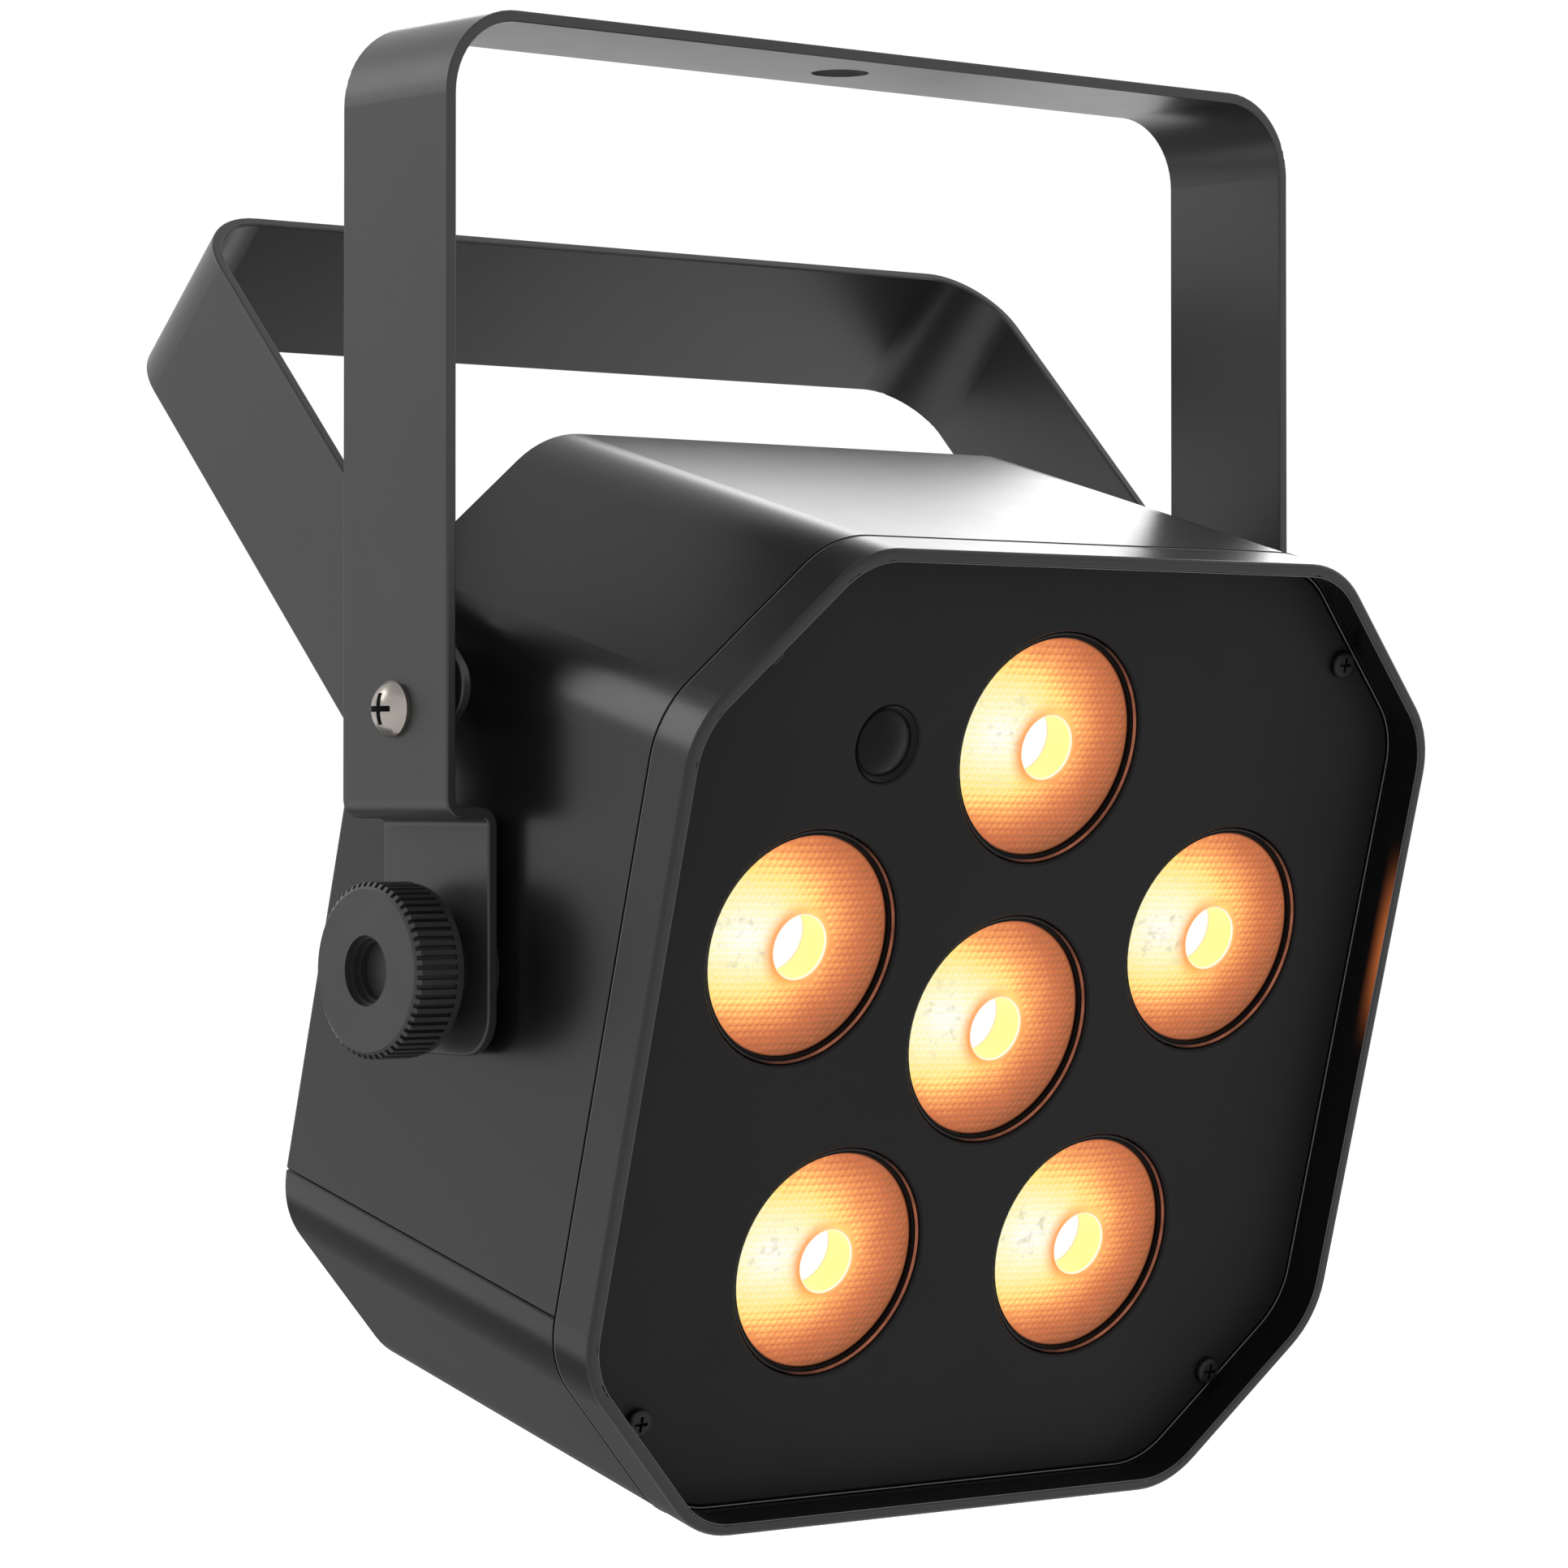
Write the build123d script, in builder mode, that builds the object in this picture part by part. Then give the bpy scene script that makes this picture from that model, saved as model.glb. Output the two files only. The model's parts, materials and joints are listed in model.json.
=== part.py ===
"""LED par can with a double yoke.

The row frame: -Y the way the beam leaves, +Z up, +X to the right of someone who faces the lenses.
The origin is the centre of the clamp hole, on the top surface of the front yoke's bar.
Everything in the head is placed in head coordinates: x across, u up the front face and d forward
along the beam, measured from the tilt axis, where the two clamp knobs are.
"""

from build123d import *
from math import asin, cos, radians, sin, sqrt
import os

os.makedirs("parts", exist_ok=True)

# ---------------------------------------------------------------- driving dimensions, in mm and degrees
STRIP_WIDTH = 30.0  # both yokes are bent from one 30 x 2 strip
STRIP_THICKNESS = 2.0
YOKE_BEND = 15.0  # outer bend radius at the top corners
EDGE_ROUND = 0.4  # softened edges of the strip
FIT_GAP = 0.05  # between flat faces that rub, and round a screw in its own thread

TILT = 15.1  # the beam points this far below level
TILT_AXIS_DROP = 163.0  # from the top of the front yoke's bar down to the tilt axis
FRONT_HALF_WIDTH = 100.0  # outer face of the front yoke's legs
PLATE_HALF_WIDTH = 91.25  # outer face of the lower plates, set in by a joggle
LEDGE_HEIGHT = 25.7  # underside of the joggle above the tilt axis
PLATE_DROP = 14.5  # the lower plates end this far below the tilt axis
PLATE_CORNER = 7.0
JOGGLE_OUTER = 3.3
JOGGLE_INNER = 1.3
CLAMP_HOLE_RADIUS = 5.25  # for an M10 clamp bolt

REAR_HALF_WIDTH = 96.65  # outer face of the rear yoke's arms
REAR_REACH = 112.0  # pivot to the outside of the rear yoke's bar
REAR_TAIL = 9.5  # the arms run this far past the pivot
REAR_CORNER = 6.0
REAR_SWING = 44.5  # the rear yoke stands this far back from vertical
PIVOT_HEIGHT = 44.3  # the rear yoke's pivot above the tilt axis

PIVOT_SCREW_RADIUS = 2.5  # M5
PIVOT_HEAD_RADIUS = 4.85
PIVOT_HEAD_HEIGHT = 3.2
PIVOT_CLEARANCE = 0.08
PIVOT_SHANK_END = 88.6
PIVOT_WASHER_RADIUS = 6.0
NUT_ACROSS_FLATS = 8.0
NUT_THICKNESS = 5.0

STUD_RADIUS = 3.95  # M8 clamp stud
STUD_CLEARANCE = 0.05
STUD_INNER_END = 78.0
STUD_OUTER_END = 99.9
YOKE_STUD_HOLE = 4.3
KNOB_RADIUS = 15.0
KNOB_FACE = 105.9
KNOB_GRIP_START = 97.4
KNOB_BACK = 96.1
KNOB_HUB_RADIUS = 9.0
KNOB_RIDGES = 56
KNOB_RIDGE_DEPTH = 0.75
KNOB_RIDGE_WIDTH = 0.85
KNOB_BEVEL = 0.9
KNOB_RECESS = ((6.0, 1.3), (5.5, 2.6), (5.0, 3.9))  # radius and depth of each step
CLAMP_WASHER_RADIUS = 9.6
CLAMP_WASHER_THICKNESS = 0.95
PAD_RADIUS = 12.5
BUSH_RADIUS = 7.0
BUSH_FLANGE_RADIUS = 11.0
BUSH_FLANGE_THICKNESS = 3.0

HEAD_HALF = 87.0  # half the octagon across its flats
HEAD_CUT = 31.0  # how much each 45-degree corner takes off
HEAD_CORNER = 18.0  # rounding of the octagon's eight corners
WALL = 2.5
REAR_FACE = -39.4
BEZEL_SEAM = 42.0
RIM_FACE = 51.9
PLATE_FACE = 44.2
PLATE_THICKNESS = 1.5
RIM_WALL = 2.15
RIM_OUTER_ROUND = 0.8
RIM_INNER_ROUND = 0.4
PLATE_GAP = 0.25
PLATE_BEVEL = 0.7
BEZEL_SPIGOT = 2.5  # the bezel's ledge reaches this far back into the housing
BEZEL_LEDGE_INSET = 9.0
SHELL_SEAM = -48.5  # where the upper and lower housings meet, in u
SHELL_GAP = 0.15
SEAM_BEVEL = 0.3
SCREW_SPREAD = 67.45  # the front screws, in x and in u
BOSS_RADIUS = 4.2
BOSS_LENGTH = 12.0

LENS_CIRCLE = 51.0
LENS_HOLE = 20.9
LENS_RADIUS = 19.5
LENS_RECESS = 1.9
LENS_CROWN = 0.9
LENS_FLANGE = 1.5
LENS_WELL_RADIUS = 6.2
LENS_WELL_DEPTH = 8.0
LENS_DEPTH = 15.0
LENS_FOOT_RADIUS = 8.0
LENS_POCKET_RADIUS = 4.2
LENS_POCKET_DEPTH = 4.0
HOLDER_RADIUS = 20.7
HOLDER_RECESS = 1.2
HOLE_BEVEL = 0.35

IR_CENTRE = (-37.6, 51.5)
IR_HOLE = 6.9
IR_DOME_RADIUS = 5.8
IR_DOME_SPHERE = 9.8

LED_BOARD_RADIUS = 76.0
LED_BOARD_THICKNESS = 1.6
BOARD_SCREW_CIRCLE = 25.5
LED_SIDE = 7.0
LED_HEIGHT = 1.5
LED_DOME = 3.4
SINK_WIDTH = 158.0
SINK_HEIGHT = 112.0
SINK_BASE = 4.0
FIN_COUNT = 17
FIN_THICKNESS = 2.0
FIN_PITCH = 8.0
FIN_TIP = 1.5

CHASSIS_THICKNESS = 1.2
CHASSIS_HALF_WIDTH = 66.5
CHASSIS_HALF_HEIGHT = 70.0
POST_X = 74.0
POST_U = 50.0
POST_RADIUS = 3.5
EAR_WIDTH = 14.0

CELL_RADIUS = 9.2
CELL_LENGTH = 64.5
CELL_PITCH = 18.8
CELL_ROWS = 3
CELL_FIRST_ROW = 22.5
CELL_CENTRE_D = -10.4
TRAY_WALL = 1.4
DRIVER_WIDTH = 112.0
DRIVER_HEIGHT = 46.0
DRIVER_CENTRE_U = -38.0
DRIVER_FACE = -7.2
DRIVER_SPACER = 5.0

PANEL_THICKNESS = 2.5
PANEL_INSET = 1.0
PANEL_GAP = 0.2
GASKET_THICKNESS = 0.5
LIP_WIDTH = 2.5
LIP_THICKNESS = 1.5
FOOT_DISTANCE = 92.0  # from the head's middle to each rubber foot, on the diagonals
FOOT_RADIUS = 5.0
FOOT_HEIGHT = 4.2

DISPLAY_CENTRE = (0.0, 32.0)
DISPLAY_SIZE = (44.0, 22.0)
BUTTON_ROW = 10.0
BUTTON_PITCH = 18.0
BUTTON_RADIUS = 3.4
BUTTON_HOLE = 3.7
BUTTON_PROUD = 1.6
INLET_CENTRE = (36.0, -36.0)
INLET_CAVITY = (24.4, 16.4)
INLET_FLANGE = (50.0, 22.4)
INLET_DEPTH = 17.0
SWITCH_CENTRE = (-34.0, -36.0)
SWITCH_OPENING = (13.0, 19.0)
ROCKER_LEAN = 8.0

# ---------------------------------------------------------------- places worked out from them
TILT_AXIS = Vector(0, 0, -TILT_AXIS_DROP)
PIVOT_AXIS = Vector(0, 0, PIVOT_HEIGHT - TILT_AXIS_DROP)
BEAM = Vector(0, -cos(radians(TILT)), -sin(radians(TILT)))
DIAGONAL_INSET = 2 - sqrt(2)  # how fast the corner cut shrinks as the octagon is inset
LENS_FACE = PLATE_FACE - LENS_RECESS
LENS_FOOT = LENS_FACE - LENS_DEPTH
PLATE_BACK = PLATE_FACE - PLATE_THICKNESS
LED_BOARD_FACE = LENS_FOOT - 2.3
SINK_FACE = LED_BOARD_FACE - LED_BOARD_THICKNESS
PANEL_BACK = REAR_FACE + PANEL_INSET
PANEL_FACE = PANEL_BACK + PANEL_THICKNESS
LIP_BACK = PANEL_FACE + GASKET_THICKNESS
SIDES = (("left", -1), ("right", 1))
CORNERS = [(x, u) for x in (-1, 1) for u in (-1, 1)]
LENS_ANGLES = [90 + 72 * step for step in range(5)]
LENS_CENTRES = [(0.0, 0.0)] + [
    (LENS_CIRCLE * cos(radians(angle)), LENS_CIRCLE * sin(radians(angle))) for angle in LENS_ANGLES
]
BUTTON_NAMES = ("menu_button", "down_button", "up_button", "enter_button")


def head_plane(distance):
    """The plane square to the beam, this far in front of the tilt axis."""
    return Plane(origin=TILT_AXIS + BEAM * distance, x_dir=(1, 0, 0), z_dir=BEAM)


def head_section(x=0.0, u=0.0):
    """A plane along the beam through (x, u): its local x is across the head and its local y is d."""
    upright = head_plane(0)
    return Plane(origin=upright.from_local_coords((x, u, 0)), x_dir=(1, 0, 0), z_dir=-upright.y_dir)


def side_section(height):
    """The upright plane through an axis that runs along X, at this height above the tilt axis."""
    return Plane(origin=TILT_AXIS + Vector(0, 0, height), x_dir=(1, 0, 0), z_dir=(0, -1, 0))


def octagon(inset):
    """The head's outline as a face, moved in by inset all round."""
    half = HEAD_HALF - inset
    flat = half - (HEAD_CUT - inset * DIAGONAL_INSET)
    corners = [
        (half, -flat),
        (half, flat),
        (flat, half),
        (-flat, half),
        (-half, flat),
        (-half, -flat),
        (-flat, -half),
        (flat, -half),
    ]
    with BuildSketch() as outline:
        with BuildLine():
            FilletPolyline(*corners, radius=HEAD_CORNER - inset, close=True)
        make_face()
    return outline.sketch


def save(piece, label):
    """Names a finished piece and writes its file."""
    piece.label = label
    export_step(piece, f"parts/{label}.step")


# ---------------------------------------------------------------- the front yoke, and what pivots in it
with BuildPart() as front_yoke:
    with BuildSketch(Plane.XZ):
        with BuildLine():
            FilletPolyline(
                (0, 0),
                (FRONT_HALF_WIDTH, 0),
                (FRONT_HALF_WIDTH, LEDGE_HEIGHT - TILT_AXIS_DROP),
                (PLATE_HALF_WIDTH, LEDGE_HEIGHT - TILT_AXIS_DROP),
                (PLATE_HALF_WIDTH, -PLATE_DROP - TILT_AXIS_DROP),
                radius=[YOKE_BEND, JOGGLE_OUTER, JOGGLE_INNER],
            )
            offset(amount=STRIP_THICKNESS, side=Side.RIGHT)
        make_face()
        mirror(about=Plane.YZ)
    extrude(amount=STRIP_WIDTH / 2, both=True)
    fillet(front_yoke.edges().filter_by(Axis.X).group_by(Axis.Z)[0], radius=PLATE_CORNER)
    fillet(front_yoke.faces().filter_by(Axis.Y).edges(), radius=EDGE_ROUND)
    with Locations((0, 0, 0)):
        Hole(radius=CLAMP_HOLE_RADIUS, depth=2 * STRIP_THICKNESS)
    with BuildSketch(Plane.YZ):
        with Locations((0, PIVOT_AXIS.Z)):
            Circle(PIVOT_SCREW_RADIUS + PIVOT_CLEARANCE)
        with Locations((0, TILT_AXIS.Z)):
            Circle(YOKE_STUD_HOLE)
    extrude(amount=2 * FRONT_HALF_WIDTH, both=True, mode=Mode.SUBTRACT)
save(front_yoke.part, "front_yoke")

swing = radians(REAR_SWING)
rear_yoke_plane = Plane(origin=PIVOT_AXIS, x_dir=(1, 0, 0), z_dir=(0, -cos(swing), sin(swing)))
with BuildPart() as rear_yoke:
    with BuildSketch(rear_yoke_plane):
        with BuildLine():
            FilletPolyline(
                (0, REAR_REACH),
                (REAR_HALF_WIDTH, REAR_REACH),
                (REAR_HALF_WIDTH, -REAR_TAIL),
                radius=YOKE_BEND,
            )
            offset(amount=STRIP_THICKNESS, side=Side.RIGHT)
        make_face()
        mirror(about=Plane.YZ)
    extrude(amount=STRIP_WIDTH / 2, both=True)
    arm_axis = Axis(PIVOT_AXIS, rear_yoke_plane.y_dir)
    fillet(rear_yoke.edges().filter_by(Axis.X).group_by(arm_axis)[0], radius=REAR_CORNER)
    strip_edges = rear_yoke.faces().filter_by(Axis(PIVOT_AXIS, rear_yoke_plane.z_dir)).edges()
    fillet(strip_edges, radius=EDGE_ROUND)
    with BuildSketch(Plane.YZ):
        with Locations((0, PIVOT_AXIS.Z)):
            Circle(PIVOT_SCREW_RADIUS + PIVOT_CLEARANCE)
    extrude(amount=2 * REAR_HALF_WIDTH, both=True, mode=Mode.SUBTRACT)
save(rear_yoke.part, "rear_yoke")

# M5 cross-head pan screws, put in from outside through both strips
head_start = FRONT_HALF_WIDTH + FIT_GAP
head_end = FRONT_HALF_WIDTH + PIVOT_HEAD_HEIGHT
with BuildPart() as pivot_screws:
    with BuildSketch(side_section(PIVOT_HEIGHT)):
        with BuildLine():
            Line((PIVOT_SHANK_END, 0), (PIVOT_SHANK_END, PIVOT_SCREW_RADIUS))
            Line((PIVOT_SHANK_END, PIVOT_SCREW_RADIUS), (head_start, PIVOT_SCREW_RADIUS))
            Line((head_start, PIVOT_SCREW_RADIUS), (head_start, PIVOT_HEAD_RADIUS))
            Line((head_start, PIVOT_HEAD_RADIUS), (head_start + 0.8, PIVOT_HEAD_RADIUS))
            ThreePointArc((head_start + 0.8, PIVOT_HEAD_RADIUS), (head_end - 0.7, 3.2), (head_end, 0))
            Line((head_end, 0), (PIVOT_SHANK_END, 0))
        make_face()
    revolve(axis=Axis(PIVOT_AXIS, (1, 0, 0)))
    with BuildSketch(Plane(origin=PIVOT_AXIS + Vector(head_end, 0, 0), x_dir=(0, 1, 0), z_dir=(1, 0, 0))):
        for turn in (45, 135):
            with Locations(Location((0, 0), turn)):
                Rectangle(5.2, 1.0)
    extrude(amount=-2.0, mode=Mode.SUBTRACT)
    mirror(about=Plane.YZ)
save(pivot_screws.part, "pivot_screws")

# nylon washers that keep the two strips apart
with BuildPart() as pivot_washers:
    with BuildSketch(Plane.YZ.offset(REAR_HALF_WIDTH + FIT_GAP)):
        with Locations((0, PIVOT_AXIS.Z)):
            Circle(PIVOT_WASHER_RADIUS)
            Circle(PIVOT_SCREW_RADIUS + PIVOT_CLEARANCE, mode=Mode.SUBTRACT)
    extrude(amount=FRONT_HALF_WIDTH - STRIP_THICKNESS - REAR_HALF_WIDTH - 2 * FIT_GAP)
    mirror(about=Plane.YZ)
save(pivot_washers.part, "pivot_washers")

with BuildPart() as pivot_nuts:
    with BuildSketch(Plane.YZ.offset(REAR_HALF_WIDTH - STRIP_THICKNESS - FIT_GAP)):
        with Locations((0, PIVOT_AXIS.Z)):
            RegularPolygon(NUT_ACROSS_FLATS / 2, 6, major_radius=False)
            Circle(PIVOT_SCREW_RADIUS + FIT_GAP, mode=Mode.SUBTRACT)
    extrude(amount=-NUT_THICKNESS)
    mirror(about=Plane.YZ)
save(pivot_nuts.part, "pivot_nuts")

# ---------------------------------------------------------------- the tilt clamps, one on each side
washer_start = PLATE_HALF_WIDTH + FIT_GAP
hub_start = washer_start + CLAMP_WASHER_THICKNESS + FIT_GAP
grip_radius = KNOB_RADIUS - KNOB_RIDGE_DEPTH
for side_name, side in SIDES:
    outward = Axis(TILT_AXIS, (side, 0, 0))

    def side_plane(distance):
        """The plane square to the tilt axis, this far out on the side in hand."""
        return Plane(origin=TILT_AXIS + Vector(side * distance, 0, 0), x_dir=(0, side, 0), z_dir=(side, 0, 0))

    with BuildPart() as knob:
        with BuildSketch(side_plane(KNOB_GRIP_START)):
            Circle(grip_radius)
            with PolarLocations(grip_radius, KNOB_RIDGES):
                Rectangle(2 * KNOB_RIDGE_DEPTH, KNOB_RIDGE_WIDTH)
        extrude(amount=KNOB_FACE - KNOB_GRIP_START)
        with BuildSketch(side_section(0)):
            with BuildLine():
                Polyline(
                    (side * KNOB_GRIP_START, 0),
                    (side * KNOB_GRIP_START, KNOB_RADIUS + 1),
                    (side * (KNOB_FACE - KNOB_BEVEL), KNOB_RADIUS),
                    (side * KNOB_FACE, KNOB_RADIUS - 1.3 * KNOB_BEVEL),
                    (side * KNOB_FACE, 0),
                    close=True,
                )
            make_face()
        revolve(axis=outward, mode=Mode.INTERSECT)
        with BuildSketch(side_plane(KNOB_BACK)):
            Circle(KNOB_RADIUS - 0.3)
        extrude(amount=KNOB_GRIP_START - KNOB_BACK)
        with BuildSketch(side_plane(hub_start)):
            Circle(KNOB_HUB_RADIUS)
        extrude(amount=KNOB_BACK - hub_start)
        with BuildSketch(side_plane(hub_start)):
            Circle(STUD_RADIUS + FIT_GAP)
        extrude(amount=STUD_OUTER_END + FIT_GAP - hub_start, mode=Mode.SUBTRACT)
        for step_radius, step_depth in KNOB_RECESS:
            with BuildSketch(side_plane(KNOB_FACE)):
                Circle(step_radius)
            extrude(amount=-step_depth, mode=Mode.SUBTRACT)
    save(knob.part, f"{side_name}_knob")

    with BuildPart() as stud:
        with BuildSketch(side_plane(STUD_INNER_END)):
            Circle(STUD_RADIUS)
        extrude(amount=STUD_OUTER_END - STUD_INNER_END)
        chamfer(stud.edges().group_by(outward)[0], length=0.6)
    save(stud.part, f"{side_name}_stud")

    with BuildPart() as clamp_washer:
        with BuildSketch(side_plane(washer_start)):
            Circle(CLAMP_WASHER_RADIUS)
            Circle(YOKE_STUD_HOLE, mode=Mode.SUBTRACT)
        extrude(amount=CLAMP_WASHER_THICKNESS)
    save(clamp_washer.part, f"{side_name}_clamp_washer")

    with BuildPart() as friction_pad:
        with BuildSketch(side_plane(HEAD_HALF + FIT_GAP)):
            Circle(PAD_RADIUS)
            Circle(BUSH_RADIUS, mode=Mode.SUBTRACT)
        extrude(amount=PLATE_HALF_WIDTH - STRIP_THICKNESS - HEAD_HALF - 2 * FIT_GAP)
    save(friction_pad.part, f"{side_name}_friction_pad")

    with BuildPart() as bush:
        with BuildSketch(side_plane(STUD_INNER_END)):
            Circle(BUSH_RADIUS)
        extrude(amount=HEAD_HALF - STUD_INNER_END)
        with BuildSketch(side_plane(HEAD_HALF - WALL - FIT_GAP)):
            Circle(BUSH_FLANGE_RADIUS)
        extrude(amount=-BUSH_FLANGE_THICKNESS)
        with BuildSketch(side_plane(STUD_INNER_END)):
            Circle(STUD_RADIUS + STUD_CLEARANCE)
        extrude(amount=HEAD_HALF - STUD_INNER_END, mode=Mode.SUBTRACT)
    save(bush.part, f"{side_name}_bush")

# ---------------------------------------------------------------- the housing: an upper and a lower shell
boss_front = BEZEL_SEAM - BEZEL_SPIGOT - FIT_GAP
with BuildPart() as whole_shell:
    with BuildSketch(head_plane(REAR_FACE)):
        add(octagon(0))
    extrude(amount=BEZEL_SEAM - REAR_FACE)
    with BuildSketch(head_plane(REAR_FACE)):
        add(octagon(WALL))
    extrude(amount=BEZEL_SEAM - REAR_FACE, mode=Mode.SUBTRACT)
    chamfer(whole_shell.faces().sort_by(Axis(TILT_AXIS, BEAM))[-1].outer_wire().edges(), length=SEAM_BEVEL)
    fillet(whole_shell.faces().sort_by(Axis(TILT_AXIS, BEAM))[0].outer_wire().edges(), radius=1.0)
    with BuildSketch(head_plane(LIP_BACK)):
        add(octagon(WALL))
        add(octagon(WALL + LIP_WIDTH), mode=Mode.SUBTRACT)
    extrude(amount=LIP_THICKNESS)
    with BuildSketch(head_plane(boss_front)):
        with Locations(*[(x * SCREW_SPREAD, u * SCREW_SPREAD) for x, u in CORNERS]):
            Circle(BOSS_RADIUS)
    extrude(amount=-BOSS_LENGTH)
    with BuildSketch(head_plane(boss_front)):
        with Locations(*[(x * SCREW_SPREAD, u * SCREW_SPREAD) for x, u in CORNERS]):
            Circle(1.55)
    extrude(amount=-BOSS_LENGTH, mode=Mode.SUBTRACT)
    with BuildSketch(Plane(origin=TILT_AXIS, x_dir=(0, 1, 0), z_dir=(1, 0, 0))):
        Circle(BUSH_RADIUS + FIT_GAP)
    extrude(amount=2 * HEAD_HALF, both=True, mode=Mode.SUBTRACT)

seam_normal = head_plane(0).y_dir
seam_plane = Plane(origin=TILT_AXIS + seam_normal * SHELL_SEAM, x_dir=(1, 0, 0), z_dir=seam_normal)


def seam_edges(shell, height):
    """The long outside edges of a shell where it meets the other one."""
    plane = head_plane(0)
    found = [
        edge
        for edge in shell.edges().filter_by(Axis(TILT_AXIS, BEAM))
        if abs(plane.to_local_coords(edge.center()).Y - height) < 0.01
        and abs(edge.center().X) > HEAD_HALF - 0.5
    ]
    return ShapeList(found)


with BuildPart() as upper_housing:
    add(whole_shell.part)
    split(bisect_by=seam_plane, keep=Keep.TOP)
    chamfer(seam_edges(upper_housing, SHELL_SEAM), length=SEAM_BEVEL)
save(upper_housing.part, "upper_housing")

with BuildPart() as lower_housing:
    add(whole_shell.part)
    split(bisect_by=seam_plane.offset(-SHELL_GAP), keep=Keep.BOTTOM)
    chamfer(seam_edges(lower_housing, SHELL_SEAM - SHELL_GAP), length=SEAM_BEVEL)
save(lower_housing.part, "lower_housing")

# ---------------------------------------------------------------- the front: bezel, plate, lenses, sensor
with BuildPart() as front_bezel:
    with BuildSketch(head_plane(BEZEL_SEAM)):
        add(octagon(0))
    extrude(amount=RIM_FACE - BEZEL_SEAM)
    with BuildSketch(head_plane(BEZEL_SEAM - BEZEL_SPIGOT)):
        add(octagon(WALL + PLATE_GAP))
    extrude(amount=BEZEL_SPIGOT)
    with BuildSketch(head_plane(PLATE_BACK)):
        add(octagon(RIM_WALL))
    extrude(amount=RIM_FACE - PLATE_BACK, mode=Mode.SUBTRACT)
    with BuildSketch(head_plane(BEZEL_SEAM - BEZEL_SPIGOT)):
        add(octagon(BEZEL_LEDGE_INSET))
        with Locations(*[(x * SCREW_SPREAD, u * SCREW_SPREAD) for x, u in CORNERS]):
            Circle(BOSS_RADIUS + 1, mode=Mode.SUBTRACT)
            Circle(1.7)
    extrude(amount=RIM_FACE, mode=Mode.SUBTRACT)
    rim = front_bezel.faces().sort_by(Axis(TILT_AXIS, BEAM))[-1]
    fillet(rim.outer_wire().edges(), radius=RIM_OUTER_ROUND)
    rim = front_bezel.faces().sort_by(Axis(TILT_AXIS, BEAM))[-1]
    fillet(rim.inner_wires()[0].edges(), radius=RIM_INNER_ROUND)
save(front_bezel.part, "front_bezel")

with BuildPart() as front_plate:
    with BuildSketch(head_plane(PLATE_BACK)):
        add(octagon(RIM_WALL + PLATE_GAP))
    extrude(amount=PLATE_THICKNESS)
    chamfer(front_plate.faces().sort_by(Axis(TILT_AXIS, BEAM))[-1].edges(), length=PLATE_BEVEL)
    with BuildSketch(head_plane(PLATE_BACK)):
        with Locations(*LENS_CENTRES):
            Circle(LENS_HOLE)
        with Locations(IR_CENTRE):
            Circle(IR_HOLE)
    extrude(amount=PLATE_THICKNESS, mode=Mode.SUBTRACT)
    round_edges = front_plate.faces().sort_by(Axis(TILT_AXIS, BEAM))[-1].inner_wires().edges()
    chamfer(round_edges, length=HOLE_BEVEL)
    with BuildSketch(head_plane(PLATE_BACK)):
        with Locations(*[(x * SCREW_SPREAD, u * SCREW_SPREAD) for x, u in CORNERS]):
            Circle(1.7)
    extrude(amount=PLATE_THICKNESS, mode=Mode.SUBTRACT)
save(front_plate.part, "front_plate")

for number, (lens_x, lens_u) in enumerate(LENS_CENTRES, 1):
    section = head_section(lens_x, lens_u)
    with BuildPart() as lens:
        with BuildSketch(section):
            with BuildLine():
                Polyline(
                    (LENS_WELL_RADIUS, LENS_FACE + LENS_CROWN),
                    (LENS_WELL_RADIUS, LENS_FACE + LENS_CROWN - LENS_WELL_DEPTH),
                    (0, LENS_FACE + LENS_CROWN - LENS_WELL_DEPTH),
                    (0, LENS_FOOT + LENS_POCKET_DEPTH),
                    (LENS_POCKET_RADIUS, LENS_FOOT + LENS_POCKET_DEPTH),
                    (LENS_POCKET_RADIUS, LENS_FOOT),
                    (LENS_FOOT_RADIUS, LENS_FOOT),
                )
                ThreePointArc(
                    (LENS_FOOT_RADIUS, LENS_FOOT),
                    (14.8, LENS_FOOT + 6.2),
                    (LENS_RADIUS - 1.2, LENS_FACE - LENS_FLANGE),
                )
                Polyline(
                    (LENS_RADIUS - 1.2, LENS_FACE - LENS_FLANGE),
                    (LENS_RADIUS, LENS_FACE - LENS_FLANGE),
                    (LENS_RADIUS, LENS_FACE),
                )
                ThreePointArc(
                    (LENS_RADIUS, LENS_FACE),
                    (13.5, LENS_FACE + 0.62 * LENS_CROWN),
                    (LENS_WELL_RADIUS, LENS_FACE + LENS_CROWN),
                )
            make_face()
        revolve(axis=Axis(section.origin, BEAM))
    save(lens.part, f"lens_{number}")

with BuildPart() as lens_holders:
    with BuildSketch(head_plane(LED_BOARD_FACE + FIT_GAP)):
        with Locations(*LENS_CENTRES):
            Circle(HOLDER_RADIUS)
            Circle(LENS_RADIUS - 0.9, mode=Mode.SUBTRACT)
    extrude(amount=LENS_FACE - LENS_FLANGE - LED_BOARD_FACE - 2 * FIT_GAP)
    with BuildSketch(head_plane(LENS_FACE - LENS_FLANGE - FIT_GAP)):
        with Locations(*LENS_CENTRES):
            Circle(HOLDER_RADIUS)
            Circle(LENS_RADIUS + 0.1, mode=Mode.SUBTRACT)
    extrude(amount=PLATE_FACE - HOLDER_RECESS - LENS_FACE + LENS_FLANGE + FIT_GAP)
save(lens_holders.part, "lens_holders")

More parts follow.
